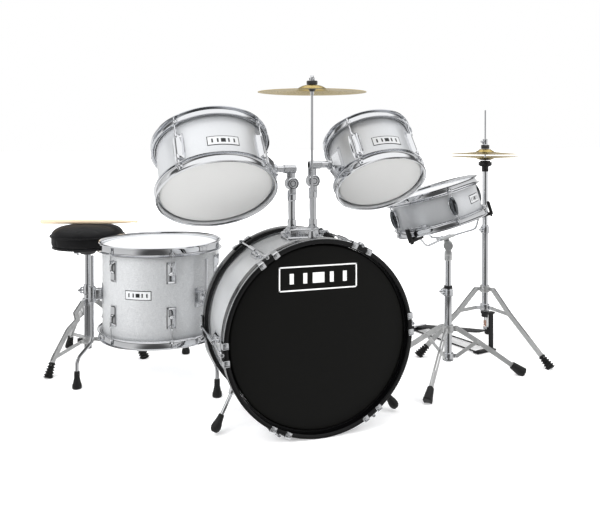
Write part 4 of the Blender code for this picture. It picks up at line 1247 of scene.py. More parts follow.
def spur_bracket(side):
    down = math.degrees(math.atan2(SPUR_PIVOT.z - BASS_RADIUS, side * SPUR_PIVOT.x))
    base = [
        rounded_box((0.0046, 0.034, 0.036), (BASS_SHELL + 0.0012, 0, 0), 0.0012),
        rounded_box((0.01, 0.024, 0.026), (BASS_SHELL + 0.003, 0, 0), 0.0035, 3)
    ]
    place = Matrix.Translation((0, SPUR_PIVOT.y, BASS_RADIUS)) @ spin(-down, "Y")
    return moved_all(base, place)


def spur(side, word):
    pivot = Vector((side * SPUR_PIVOT.x, SPUR_PIVOT.y, SPUR_PIVOT.z))
    foot = Vector((side * SPUR_FOOT.x, SPUR_FOOT.y, SPUR_FOOT.z)) - pivot
    along = foot.normalized()
    at = Matrix.Translation(pivot)
    piece(
        f"spur_{word}_rod", f"spur_{word}", CHROME,
        [
            cylinder(0.0042, -along * 0.004, foot, steps=28),
            cylinder(0.0085, -along * 0.004, along * 0.01, 0.0062, steps=28)
        ],
        at, [f"spur_{word}"]
    )
    turn = along.to_track_quat("Z", "Y").to_matrix().to_4x4()
    start = foot.length - 0.034
    profile = [
        (0, foot.length + 0.006), (0.006, foot.length + 0.0055), (0.01, foot.length + 0.001),
        (0.0114, foot.length - 0.005), (0.0104, foot.length - 0.012), (0.008, foot.length - 0.021),
        (0.0068, start + 0.004), (0.0062, start), (0, start)
    ]
    boot = moved(revolve(profile, 40), turn)
    floor_z = -SPUR_PIVOT.z
    points = [Vector((p.x, p.y, max(p.z, floor_z))) for p in boot[0]]
    piece(f"spur_{word}_boot", f"spur_{word}", RUBBER, [(points, boot[1])], at)


def bass_drum():
    bass_shell()
    bass_end(True)
    bass_end(False)
    bass_plate()
    brackets = spur_bracket(-1) + spur_bracket(1)
    piece("spur_brackets", ROOT, CAST, brackets)
    spur(-1, "left")
    spur(1, "right")
    bridge = [
        rounded_box((0.09, 0.056, 0.014), (0, HOLDER_Y, 0.418), 0.004, 3),
        rounded_box((0.074, 0.034, 0.028), (0, HOLDER_Y, 0.429), 0.005, 3, taper=(0.96, 0.9)),
    ]
    for side in (-1, 1):
        bridge.append(sleeve(0.0086, HOLDER_TOP, (0.0142, 0.418), steps=48, edge=0.0015))
        bridge[-1] = shifted(bridge[-1], side * POST_X, HOLDER_Y, 0)
        bridge.append(
            moved(
                revolve([(0, 0.003), (0.0024, 0.0027), (0.0036, 0.0), (0, 0)], 20),
                Matrix.Translation((side * 0.0385, HOLDER_Y - 0.021, 0.425))
            )
        )
        bridge += wing_bolt(
            (side * 0.041, HOLDER_Y - 0.006, 0.432), (side, -0.35, 0.15), 0.014, 0.02, 0.009
        )
    piece("tom_mount_casting", ROOT, CAST, bridge)
    cone = [
        (0.0034, CRASH_BASE_TOP), (0.0068, CRASH_BASE_TOP), (0.0076, CRASH_BASE_TOP - 0.002), (0.01, 0.419),
        (0.0112, 0.413), (0.0034, 0.413)
    ]
    piece(
        "crash_socket", ROOT, CAST,
        [shifted(revolve(rounded_profile(cone, 0.0006), 40, ring=True), 0, CRASH_Y, 0)]
    )


# ---------------------------------------------------------------- cymbals


def cymbal_profile(radius, edge, rise, flipped=1):
    bell, foot = 0.28 * radius, 0.4 * rise
    line = [
        (0.006, rise), (0.0105, rise * 0.985), (0.016, rise * 0.94), (0.62 * bell, 0.86 * rise),
        (0.8 * bell, 0.68 * rise), (0.93 * bell, 0.5 * rise), (1.04 * bell, 0.385 * rise)
    ]
    line += [
        (bell + (radius - bell) * t, foot * (1 - t) ** 1.3 * (0.985 if t < 0.2 else 1))
        for t in (0.15, 0.3, 0.45, 0.6, 0.75, 0.9)
    ]
    line.append((radius, 0.0))
    upper = [(r, edge + flipped * z) for r, z in line]
    lower = [(r, z - CYMBAL_THICKNESS * (0.75 if r > 0.9 * radius else 1.0)) for r, z in reversed(upper)]
    return upper + lower


def cymbal(name, body, node, radius, edge, rise, origin, flipped=1):
    shape = revolve(cymbal_profile(radius, edge, rise, flipped), 160, ring=True)
    centre = Vector((origin[0], origin[1], edge))
    disc = piece(
        name, body, BRASS, [shape], Matrix.Translation((origin[0], origin[1], 0)), [node], origin=centre,
        sharp=50
    )
    disc.visible_glossy = False


def crash():
    top = CRASH_EDGE_Z + CRASH_BELL_RISE
    under = top - CYMBAL_THICKNESS
    at = Matrix.Translation((0, CRASH_Y, 0))
    rod_shapes = [
        cylinder(CRASH_ROD_RADIUS, (0, 0, 0.335), (0, 0, top + 0.016), steps=28),
        cylinder(0.0042, (0, 0, under - 0.022), (0, 0, under - 0.0125), steps=24),
    ]
    rod_shapes += wing_bolt((0, 0, top + 0.011), (0, 0, 1), 0.0105, 0.019, 0.0085, roll=0.5, shank=0.0025)
    piece("crash_rod_steel", "crash_rod", CHROME, rod_shapes, at, ["crash_rod"])
    pads = [
        turned(
            [(0, top + 0.0092), (0.0124, top + 0.0092), (0.0124, top + 0.0006), (0, top + 0.0006)], 0.0014,
            40, 3
        ),
        turned(
            [
                (0, under - 0.0006), (0.0108, under - 0.0006), (0.0108, under - 0.0058),
                (0.0048, under - 0.014), (0, under - 0.014)
            ],
            0.001, 40, 3
        ),
    ]
    piece("crash_felts", "crash_rod", FELT, pads, at)
    cymbal(
        "crash_cymbal_bronze", "crash_cymbal", "crash_cymbal", CRASH_RADIUS, CRASH_EDGE_Z, CRASH_BELL_RISE,
        (0, CRASH_Y)
    )


# ---------------------------------------------------------------- floor tom


def rubber_tip(x, top, radius=0.0122):
    profile = [
        (0, top), (0.0062, top), (0.0072, top - 0.003), (0.0074, top * 0.62), (0.0098, top * 0.36),
        (radius, top * 0.22), (radius, 0.0022), (radius - 0.0016, 0.0), (0, 0)
    ]
    return shifted(turned(profile, 0.0012, 40), x, 0, 0)


def floor_tom():
    d = DRUMS["floor"]
    middle = FLOOR_TOM_TOP - d["depth"] / 2
    m = Matrix.Translation(FLOOR_TOM_AXIS + Vector((0, 0, middle)))
    drum(
        "floor", "floor", ROOT, m, SPARKLE_WRAP, ["floor_tom_shell", "floor_tom_batter_hoop", None],
        WHITE_HEAD, "floor_tom"
    )
    badge("floor_tom_badge", ROOT, d, -118.5, 0.259 - middle, m)
    brackets = []
    z = FLOOR_BRACKET_Z - middle
    for degrees in FLOOR_LEG_ANGLES:
        plate = curved_plate(
            d["shell"] - 0.0004, 0.0022, math.degrees(0.015 / d["shell"]), z - 0.025, z + 0.025, 8
        )
        block = rounded_box((0.019, 0.023, 0.03), (d["shell"] + 0.0105, 0, z), 0.0045, 3)
        barrel = sleeve(0.0054, z + 0.02, (0.0092, z - 0.02), steps=40, edge=0.0012)
        barrel = shifted(barrel, FLOOR_LEG_RADIUS, 0, 0)
        bolt = wing_bolt(
            (FLOOR_LEG_RADIUS, -0.0085, z + 0.004), (0.15, -1, 0), 0.0125, 0.018, 0.008, roll=0.4
        )
        brackets += at_angle([plate, block, barrel] + bolt, degrees)
    piece("floor_tom_leg_brackets", ROOT, CAST, brackets, m)
    out = FLOOR_FOOT_RADIUS - FLOOR_LEG_RADIUS
    for number, degrees in enumerate(FLOOR_LEG_ANGLES, 1):
        a = math.radians(degrees)
        place = Matrix.Translation(
            FLOOR_TOM_AXIS + Vector((math.cos(a), math.sin(a), 0)) * FLOOR_LEG_RADIUS
        ) @ Matrix.Rotation(a, 4, "Z")
        path = smooth_path([(0, 0, 0.345), (0, 0, 0.12), (out, 0, 0.0755), (out, 0, 0.018)], 0.014, 7)
        name = f"floor_tom_leg_{number}"
        piece(f"{name}_rod", name, CHROME, [swept(path, 0.00465, 24)], place, [name])
        piece(f"{name}_tip", name, RUBBER, [rubber_tip(out, 0.046)], place)


# ---------------------------------------------------------------- folding tripods


def ears(t, pivot):
    reach, z = pivot
    root = t["tube"] + COLLAR_WALL + 0.0012
    shapes = []
    for degrees in t["angles"]:
        ear = strip([(root, z), (reach, z)], 0.0108, 0.002, 0.0014)
        pin = cylinder(0.0019, (reach, -0.005, z), (reach, 0.005, z), steps=14)
        shapes += at_angle([ear, pin], degrees)
    return shapes


def collar_ring(t, z):
    return sleeve(
        t["tube"] + 0.0005, z + COLLAR_HEIGHT / 2, (t["tube"] + COLLAR_WALL, z - COLLAR_HEIGHT / 2),
        steps=48, edge=0.0012
    )


def rubber_foot(t):
    """A rubber shoe, ribbed or smooth, that flares and is cut off level with the floor."""
    a, b = (Vector((x, 0, z)) for x, z in t["leg"][-2:])
    along = (b - a).normalized()
    start = b - along * FOOT_LENGTH / 2
    low, high = FOOT_WIDTHS
    profile = [(0, FOOT_LENGTH + 0.002), (high - 0.0025, FOOT_LENGTH + 0.0015), (high, FOOT_LENGTH - 0.001)]
    rows = 5 if t["ribs"] else 10
    for i in range(rows):
        share = (i + 0.5) / rows
        z = FOOT_LENGTH * (1 - 0.92 * share)
        r = high + (low - high) * share**1.2
        gap = FOOT_LENGTH * 0.92 / rows
        if t["ribs"]:
            profile += [
                (r, z + gap * 0.3), (r, z), (r - 0.003, z - gap * 0.14), (r - 0.003, z - gap * 0.46)
            ]
        else:
            profile.append((r, z))
    profile += [(low, 0.002), (low - 0.002, 0.0), (0, 0)]
    mirrored = [(r, FOOT_LENGTH - z) for r, z in profile]
    mirrored.reverse()
    place = Matrix.Translation(start) @ along.to_track_quat("Z", "Y").to_matrix().to_4x4()
    points, faces = moved(revolve(mirrored, 36), place)
    pressed = [Vector((p.x, p.y * 0.82, max(p.z, 0.0))) for p in points]
    return pressed, faces


def tripod(word):
    t = TRIPODS[word]
    axis = t["axis"]
    joint, brace = t["joint"], t["brace_pivot"]
    for number, degrees in enumerate(t["angles"], 1):
        m = Matrix.Translation(axis) @ spin(degrees, "Z")
        leg_name, brace_name = f"{word}_leg_{number}", f"{word}_brace_{number}"
        path = t["leg"]
        tine = LEG_THICKNESS / 2 - PLATE / 2
        shapes = [strip(path, LEG_WIDTH, PLATE, side * tine) for side in (-1, 1)]
        last, before = Vector(path[-1]), Vector(path[-2])
        share = 0.52 if t["collar_slides"] else 0.3
        core = [tuple(before + (last - before) * share), path[-1]]
        shapes.append(strip(core, LEG_WIDTH - 0.0012, LEG_THICKNESS - 2 * PLATE + 0.0004))
        for x, z in (path[0], joint):
            shapes += [rivet(x, z, side * LEG_THICKNESS / 2) for side in (-1, 1)]
        piece(f"{leg_name}_strip", leg_name, STEEL, shapes, m, [leg_name])
        piece(f"{leg_name}_foot", leg_name, RUBBER, [rubber_foot(t)], m)
        bar = [strip([brace, joint], 0.0104, 0.002, -0.0014)]
        bar.append(rivet(*brace, -0.0024, 0.0026, 0.0006))
        piece(f"{brace_name}_strip", brace_name, STEEL, bar, m, [brace_name])


# ---------------------------------------------------------------- snare drum and stand


def snare_frame():
    h = math.radians(SNARE_TILT_HEADING)
    axis = Vector((math.cos(h), math.sin(h), 0))
    return Matrix.Translation(SNARE_AXIS + UP * SNARE_TILTER_Z) @ spin(SNARE_TILT, axis)


def snare_stand():
    t = TRIPODS["snare_stand"]
    at = Matrix.Translation(SNARE_AXIS)
    out = t["tube"]
    base = [
        sleeve(
            0.0086, 0.244, (0.0124, 0.24), (0.0134, 0.2235), (out, 0.068), (out + COLLAR_WALL, 0.048),
            (out, 0.0452)
        )
    ]
    base += ears(t, t["brace_pivot"])
    base += wing_bolt((-0.0125, 0, 0.237), (-1, -0.15, 0), 0.0155, 0.021, 0.01)
    piece("snare_base_tube", ROOT, CHROME, base, at, ["snare_stand_base"])
    piece(
        "snare_base_bushing", ROOT, PLASTIC, [sleeve(0.0083, 0.2512, (0.0112, 0.246), (0.0122, 0.2438))], at
    )
    collar = [collar_ring(t, t["leg"][0][1])] + ears(t, t["leg"][0])
    piece("snare_collar", "snare_stand_leg_collar", STEEL, collar, at, ["snare_stand_leg_collar"])
    tripod("snare_stand")
    heading = math.radians(SNARE_TILT_HEADING)
    hinge = Vector((math.cos(heading), math.sin(heading), 0))
    pivot = UP * SNARE_TILTER_Z
    upper = [cylinder(0.0079, (0, 0, 0.105), (0, 0, 0.33), steps=40)]
    piece("snare_upper_tube_steel", "snare_stand_upper_tube", CHROME, upper, at, ["snare_stand_upper_tube"])
    casting = [
        turned(
            [(0, 0.3445), (0.0095, 0.3445), (0.0105, 0.342), (0.0105, 0.321), (0.009, 0.32), (0, 0.32)],
            0.001, 40
        ),
        cylinder(0.0128, pivot - hinge * 0.0128, pivot - hinge * 0.0004, steps=40, edge=0.0012),
        moved(
            rounded_box((0.0105, 0.017, 0.02), (-0.0066, 0, 0.344), 0.003, 3),
            Matrix.Rotation(heading, 4, "Z")
        ),
    ]
    piece("snare_tilter_lower", "snare_stand_upper_tube", STEEL, casting, at)
    f = snare_frame()
    tilter = [
        cylinder(0.0128, hinge * 0.0004, hinge * 0.0128, steps=40, edge=0.0012),
        moved(
            rounded_box((0.0115, 0.0155, 0.019), (0.0066, 0, 0.012), 0.003, 3),
            Matrix.Rotation(heading, 4, "Z")
        ),
        rounded_box((0.044, 0.034, 0.0068), (0, 0, 0.0225), 0.0022, 3),
    ]
    tilter += wing_bolt(hinge * 0.012, hinge, 0.014, 0.02, 0.01, roll=0.7)
    piece("snare_tilter_upper", "snare_drum", STEEL, tilter, f, ["snare_stand_basket"])
    snare_basket(f)
    snare_drum(f)


def snare_basket(f):
    arms, grips = [], []
    hoop = DRUMS["snare"]["hoop"]
    for degrees in BASKET_ARM_ANGLES:
        path = smooth_path(
            [(0.012, 0, 0.0225), (0.084, 0, 0.0225), (0.097, 0, 0.044), (0.101, 0, SNARE_RISE - 0.0065)],
            0.01, 5
        )
        arms += at_angle(
            [swept(path, 0.0029, 20), cylinder(0.0046, (0.019, 0, 0.0225), (0.025, 0, 0.0225), steps=20)],
            degrees
        )
        r, z = hoop + 0.0058, SNARE_RISE - 0.0062
        shoe = [
            rounded_box((r - 0.092 + 0.004, 0.0125, 0.0085), ((r + 0.092) / 2, 0, z), 0.0022, 3),
            rounded_box((0.0076, 0.0125, 0.037), (r + 0.0012, 0, z + 0.015), 0.0022, 3),
            moved(
                rounded_box((0.0045, 0.01, 0.02), (0, 0, 0), 0.0014, 2),
                Matrix.Translation((r - 0.0065, 0, z - 0.0008)) @ spin(-50, "Y")
            ),
        ]
        grips += at_angle(shoe, degrees)
    piece("snare_basket_arms", "snare_drum", CHROME, arms, f)
    piece("snare_basket_grips", "snare_drum", RUBBER, grips, f)


def snare_drum(f):
    d = DRUMS["snare"]
    m = f @ Matrix.Translation((0, 0, SNARE_RISE + d["depth"] / 2))
    drum(
        "snare", "snare", "snare_drum", m, SATIN_WRAP, ["snare_shell", "snare_batter_hoop", None],
        WHITE_HEAD, "snare"
    )
    badge("snare_badge", "snare_drum", d, -58, 0.0, m, 0.046, 0.0225)
    heights = [0.026 - 0.0026 * i for i in range(21)]
    # Each lug's hollow gets a dark chrome spindle: painted shade where the hollow lies in shadow, not a
    # part of the lug.
    spindle = revolve([(0.0086 * hump(z, 0.026, 1.8), z) for z in heights], 32)
    hollow_shade_spindles = []
    for degrees in d["lugs"]:
        hollow_shade_spindles += at_angle([shifted(spindle, d["shell"] + 0.009, 0, 0)], degrees)
    piece("snare_lug_hollow_shade", "snare_drum", HOLLOW_SHADE_CHROME, hollow_shade_spindles, m)
    r = d["shell"]
    butt = [
        relief(
            r, -0.0335, -0.027, lambda v: 0.034, lambda x, v: 0.0042 * hump(v, 1.15) * hump(x, 0.0345, 6)
        )
    ]
    for turn in (-14.5, 14.5):
        butt += at_angle(
            [cylinder(0.0046, (r, 0, -0.0302), (r + 0.0056, 0, -0.0302), 0.004, steps=24)], turn
        )
    strainer = [
        rounded_box((0.007, 0.02, 0.038), (r + 0.0036, 0, -0.008), 0.0022, 3),
        rounded_box((0.006, 0.0085, 0.033), (r + 0.0088, 0, -0.004), 0.0022, 3),
        cylinder(0.0042, (r + 0.006, 0, -0.029), (r + 0.006, 0, -0.023), steps=24),
    ]
    piece("snare_strainer", "snare_drum", CAST, at_angle(butt, -152.5) + at_angle(strainer, 37), m)
    wires = []
    under = -d["depth"] / 2 + 0.0093
    for i in range(12):
        y = -0.0132 + 0.0024 * i
        wires.append(cylinder(0.00055, (-0.092, y, under), (0.092, y, under), steps=8, edge=0.0001))
    wires += [rounded_box((0.01, 0.032, 0.0012), (s * 0.094, 0, under), 0.0003, 1) for s in (-1, 1)]
    piece("snare_wires", "snare_drum", CHROME, at_angle(wires, 33), m)


# ---------------------------------------------------------------- hi-hat


def heading_vector(degrees, length=1.0):
    return Vector((math.cos(math.radians(degrees)), math.sin(math.radians(degrees)), 0)) * length


def coil(radius, wire_radius, bottom, top, turns, steps=12):
    path = []
    for i in range(turns * steps + 1):
        a = 2 * math.pi * i / steps
        path.append(
            (radius * math.cos(a), radius * math.sin(a), bottom + (top - bottom) * i / (turns * steps))
        )
    return swept(path, wire_radius, 8)


def hihat_floor_frame(at):
    """The heel plate, its two floor rods and the upright behind the pedal."""
    side, back = heading_vector(HIHAT_HEADING - 90), heading_vector(HIHAT_HEADING)
    turn = spin(HIHAT_HEADING - 90, "Z")
    frame_shapes = moved_all([
        rounded_box((0.028, 0.016, 0.006), (0.023, 0, 0.117), 0.0012),
        rounded_box((0.018, 0.0045, 0.113), (0.0275, 0, 0.0605), 0.0012),
        rounded_box((0.08, 0.022, 0.0055), (0, 0, 0.0042), 0.0014),
        rounded_box((0.074, 0.036, 0.0055), (0, HIHAT_HEEL_REACH, 0.0042), 0.0014),
        rounded_box((0.056, 0.01, 0.012), (0, HIHAT_HEEL_REACH - 0.002, 0.009), 0.003, 3),
    ], turn)
    for reach in (-0.03, 0.03):
        start = side * reach + UP * 0.0042
        frame_shapes.append(cylinder(0.0024, start, start + back * HIHAT_HEEL_REACH, steps=16))
    piece("hihat_floor_frame", ROOT, BLACK_STEEL, frame_shapes, at)


def hihat_pull_rod(at):
    """What the pedal pulls down (rod, clutch, felts, spring and top cymbal), and the pedal's board."""
    top = HIHAT_TOP_EDGE + 0.014
    under = top - CYMBAL_THICKNESS
    pull = [
        cylinder(0.0024, (0, 0, 0.083), (0, 0, HIHAT_ROD_TOP), steps=20, edge=0.0008),
        turned(
            [(0, 0.65), (0.0062, 0.65), (0.0068, 0.6485), (0.0068, 0.6335), (0.0088, 0.632), (0, 0.632)],
            0.0006, 32
        ),
        cylinder(0.0058, (0, 0, 0.0705), (0, 0, 0.079), steps=24, edge=0.001),
    ]
    pull += wing_bolt((-0.0055, 0, 0.642), (-1, -0.3, 0), 0.011, 0.014, 0.008)
    piece("hihat_rod", "hihat_pull_rod", CHROME, pull, at, ["hihat_pull_rod"])
    spring = [coil(0.0042, 0.0008, 0.078, 0.098, 6)]
    piece("hihat_link_spring", "hihat_pull_rod", COPPER, spring, at)
    felts = [
        turned([(0, 0.632), (0.0122, 0.632), (0.0122, top + 0.0006), (0, top + 0.0006)], 0.0014, 40, 3),
        turned(
            [(0, under - 0.0006), (0.0078, under - 0.0006), (0.0078, under - 0.004), (0, under - 0.004)],
            0.0008, 32, 3
        ),
    ]
    piece("hihat_felts", "hihat_pull_rod", FELT, felts, at)
    cymbal(
        "hihat_top_bronze", "hihat_pull_rod", "hihat_top_cymbal", HIHAT_RADIUS, HIHAT_TOP_EDGE, 0.014,
        HIHAT_AXIS
    )
    heel = HIHAT_AXIS + heading_vector(HIHAT_HEADING, HIHAT_HEEL_REACH - 0.01) + UP * 0.0135
    footboard("hihat_board", "hihat_footboard", (0.282, 0.048), 0.05, heel, HIHAT_HEADING + 180)


def hihat():
    t = TRIPODS["hihat_stand"]
    at = Matrix.Translation(HIHAT_AXIS)
    out, seat = t["tube"], HIHAT_SEAT_Z
    tube_shapes = [
        sleeve(
            0.006, seat - 0.034, (0.0083, 0.388), (0.0112, 0.384), (0.0125, 0.364), (out, 0.148),
            (out + COLLAR_WALL, 0.128), (0.0105, 0.1265)
        )
    ]
    tube_shapes += ears(t, t["brace_pivot"])
    tube_shapes += wing_bolt((-0.0115, -0.003, 0.376), (-1, -0.35, 0), 0.0145, 0.02, 0.01)
    piece("hihat_tube", ROOT, CHROME, tube_shapes, at, ["hihat_stand_base"])
    cup = [
        sleeve(
            0.006, seat - 0.002, (0.015, seat - 0.006), (0.0198, seat - 0.0085), (0.0198, seat - 0.0165),
            (0.0165, seat - 0.019), (0.01, seat - 0.035), edge=0.0012
        ),
        sleeve(0.0062, 0.1266, (0.0125, 0.119), (0.01, 0.1085), edge=0.001),
    ]
    piece("hihat_cup", ROOT, PLASTIC, cup, at)
    hihat_floor_frame(at)
    cymbal(
        "hihat_bottom_bronze", ROOT, "hihat_bottom_cymbal", HIHAT_RADIUS, HIHAT_BOTTOM_EDGE,
        HIHAT_BOTTOM_EDGE - seat - 0.0008, HIHAT_AXIS, -1
    )
    collar_z = t["leg"][0][1]
    collar = [collar_ring(t, collar_z)] + ears(t, t["leg"][0])
    collar += wing_bolt((-0.01, -0.01, collar_z), (-1, -0.8, 0.1), 0.0155, 0.02, 0.01, roll=0.2)
    piece("hihat_collar", "hihat_stand_leg_collar", STEEL, collar, at, ["hihat_stand_leg_collar"])
    tripod("hihat_stand")
    hihat_pull_rod(at)


def footboard(name, body, toe, width, location, heading):
    """A cast plate with raised grip ribs that turns on a heel pin."""
    length = math.hypot(*toe)
    outline = [
        (0.004, -width * 0.44), (length * 0.7, -width / 2), (length - 0.014, -width * 0.46),
        (length - 0.001, -width * 0.3), (length - 0.001, width * 0.3), (length - 0.014, width * 0.46),
        (length * 0.7, width / 2), (0.004, width * 0.44)
    ]
    shapes = [slab(outline, 0.0036, 0.001)]
    count = int(length / 0.0135)
    for i in range(1, count):
        x = i * length / count
        for side in (-1, 1):
            bar = rounded_box((0.0026, width * 0.36, 0.0012), (0, side * width * 0.2, 0.0019), 0.0005, 1)
            shapes.append(moved(bar, Matrix.Translation((x, 0, 0)) @ spin(12 * side, "Z")))
    lean = Matrix.Rotation(-math.atan2(toe[1], toe[0]), 4, "Y")
    place = Matrix.Translation(location) @ spin(heading, "Z") @ lean
    piece(name, body, BLACK_STEEL, shapes, place, [body])
    pin = [cylinder(0.0048, (0, -width / 2, 0), (0, width / 2, 0), steps=28)]
    piece(f"{name}_pin", body, CHROME, pin, place)


# ---------------------------------------------------------------- stool


def blow_up(obj):
    """Cloth simulation under pressure, with no point moved further than the cover could swell."""
    remesh = obj.modifiers.new("Voxels", "REMESH")
    remesh.mode = "VOXEL"
    remesh.voxel_size = CUSHION_VOXEL
    apply_modifiers(obj)
    start = [v.co.copy() for v in obj.data.vertices]
    cloth = obj.modifiers.new("Cloth", "CLOTH")
    cloth.settings.use_pressure = True
    cloth.settings.uniform_pressure_force = CUSHION_PRESSURE
    cloth.settings.effector_weights.gravity = 0.0
    cloth.settings.quality = 6
    cloth.settings.mass = 0.25
    cloth.settings.tension_stiffness = CUSHION_STIFFNESS
    cloth.settings.compression_stiffness = CUSHION_STIFFNESS
    scene = bpy.context.scene
    for number in range(1, CUSHION_FRAMES + 1):
        scene.frame_set(number)
    apply_modifiers(obj)
    for v, rest in zip(obj.data.vertices, start):
        v.co = rest + clamp_length(v.co - rest, CUSHION_SWELL)
    scene.frame_set(1)


def cushion():
    """The round seat: a padded vinyl top over a boxed side, blown up with cloth simulation."""
    r, shoulder = SEAT_RADIUS - 0.0045, SEAT_SHOULDER
    profile = [
        (0, SEAT_TOP - 0.0045),
        (r * 0.6, SEAT_TOP - 0.005),
        (r * 0.8, SEAT_TOP - 0.0085),
        (r * 0.92, SEAT_TOP - 0.015),
        (r * 0.99, SEAT_TOP - 0.0235),
        (r, shoulder - 0.001),
        (r, SEAT_BOTTOM + 0.008),
        (r * 0.985, SEAT_BOTTOM + 0.0035),
        (0, SEAT_BOTTOM + 0.003),
    ]
    obj = piece(
        "throne_cushion", "throne_seat", VINYL, [revolve(profile, 64)], Matrix.Translation(THRONE_AXIS),
        ["throne_seat"], origin=THRONE_AXIS
    )
    obj.parent = None
    obj.matrix_world = Matrix.Translation(THRONE_AXIS - KIT_CENTRE)
    blow_up(obj)
    settle_cushion(obj.data)
    sub = obj.modifiers.new("Smooth", "SUBSURF")
    sub.levels = 1
    sub.render_levels = 1
    apply_modifiers(obj)
    settle_cushion(obj.data)
    obj.data.shade_smooth()
    obj.data.materials.clear()
    obj.data.materials.append(VINYL)
    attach(obj, "throne_seat")


def clamp_length(vector, limit):
    return vector * (limit / vector.length) if vector.length > limit else vector


def apply_modifiers(obj):
    bpy.context.view_layer.update()
    graph = bpy.context.evaluated_depsgraph_get()
    made = bpy.data.meshes.new_from_object(obj.evaluated_get(graph))
    obj.modifiers.clear()
    obj.data = made


def settle_cushion(mesh):
    """Keeps the cushion in its room, flat under the stick and the piping, and draws in its lower edge."""
    for v in mesh.vertices:
        radius = math.hypot(v.co.x, v.co.y)
        limit = SEAT_RADIUS - 0.0006
        z = v.co.z
        crease = math.exp(-(((z - SEAT_SHOULDER) / 0.0032) ** 2))
        limit -= 0.003 * crease
        angle = math.atan2(v.co.y, v.co.x)
        if z < SEAT_BOTTOM + 0.014:
            tuck = (SEAT_BOTTOM + 0.014 - z) / 0.014
            limit -= 0.0014 * tuck * (1 + math.sin(angle * 23) * 0.5 + math.sin(angle * 41 + 1.3) * 0.4)
        if radius > limit:
            v.co.x *= limit / radius
            v.co.y *= limit / radius
        v.co.z = min(max(z, SEAT_BOTTOM + 0.0012), SEAT_TOP - 0.0004)


def throne():
    t = TRIPODS["throne"]
    at = Matrix.Translation(THRONE_AXIS)
    out = t["tube"]
    base = [
        sleeve(
            0.0093, 0.225, (0.0122, 0.219), (0.0138, 0.1965), (out, 0.1845), (out + COLLAR_WALL, 0.1645),
            (out, 0.0364)
        )
    ]
    base += ears(t, t["leg"][0])
    base += wing_bolt((-0.013, 0, 0.208), (-1, -0.2, 0), 0.0155, 0.021, 0.01)
    piece("throne_lower_tube", ROOT, CHROME, base, at, ["throne_base"])
    z = t["brace_pivot"][1]
    collar = [collar_ring(t, z)] + ears(t, t["brace_pivot"])
    piece("throne_collar", "throne_brace_collar", STEEL, collar, at, ["throne_brace_collar"])
    knob = wing_bolt((-0.015, 0, z), (-1, 0.1, 0), 0.015, 0.024, 0.013, roll=1.4, shank=0.004)
    piece("throne_collar_knob", "throne_brace_collar", PLASTIC, knob, at)
    tripod("throne")
    piece(
        "throne_upper_tube", "throne_post", CHROME,
        [cylinder(0.0088, (0, 0, 0.085), (0, 0, 0.32), steps=40)], at, ["throne_post"]
    )
    top = SEAT_BOTTOM - 0.0005
    hub = [
        turned(
            [
                (0, top), (0.0296, top), (0.0296, 0.329), (0.027, 0.3245), (0.0205, 0.315), (0.015, 0.313),
                (0, 0.313)
            ],
            0.002, 48, 3
        )
    ]
    piece("throne_hub", "throne_post", PLASTIC, hub, at)
    piece(
        "throne_hub_bolt", "throne_post", CHROME,
        wing_bolt((-0.019, 0, 0.319), (-1, -0.1, 0), 0.02, 0.016, 0.008, roll=0.5), at
    )
    board = [
        turned(
            [
                (0, SEAT_BOTTOM + 0.006), (SEAT_RADIUS - 0.008, SEAT_BOTTOM + 0.006),
                (SEAT_RADIUS - 0.0065, SEAT_BOTTOM + 0.0002), (0, SEAT_BOTTOM + 0.0002)
            ],
            0.001, 64
        )
    ]
    piece("throne_seat_board", "throne_seat", BLACK_STEEL, board, at)
    cushion()
    turns = [2 * math.pi * i / 96 for i in range(96)]
    r = SEAT_RADIUS - 0.0022
    ring = [(r * math.cos(a), r * math.sin(a), SEAT_SHOULDER) for a in turns]
    piece("throne_piping", "throne_seat", VINYL, [swept(ring, 0.0021, 14, closed=True)], at)


def drumstick():
    r = STICK_RADIUS
    length = STICK_LENGTH - STICK_TIP_TRIM
    profile = [
        (0, length), (0.0014, length - 0.0002), (0.0028, length - 0.0014), (0.0036, length - 0.004),
        (0.0035, length - 0.0072), (0.0028, length - 0.0102), (0.0026, length - 0.0125),
        (0.0033, length - 0.02), (0.0046, length - 0.04), (0.0058, length - 0.062), (r, length - 0.085),
        (r, 0.01), (r * 0.97, 0.006), (r * 0.82, 0.0022), (r * 0.5, 0.0004), (0, 0)
    ]
    lie = spin(90, "Y")
    shape = moved(revolve(profile, 36), lie)
    start = THRONE_AXIS + heading_vector(
        STICK_HEADING, STICK_TIP_TRIM - STICK_OVERHANG
    ) + UP * (SEAT_TOP + r + 0.0004)
    obj = piece("drumstick_maple", "throne_seat", WOOD, [shape], IDENTITY, ["drumstick"])
    obj.parent = None
    obj.matrix_world = KIT @ Matrix.Translation(start) @ spin(STICK_HEADING, "Z")
    obj.data.transform(KIT.inverted())
    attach(obj, "throne_seat")


# ---------------------------------------------------------------- bass drum pedal


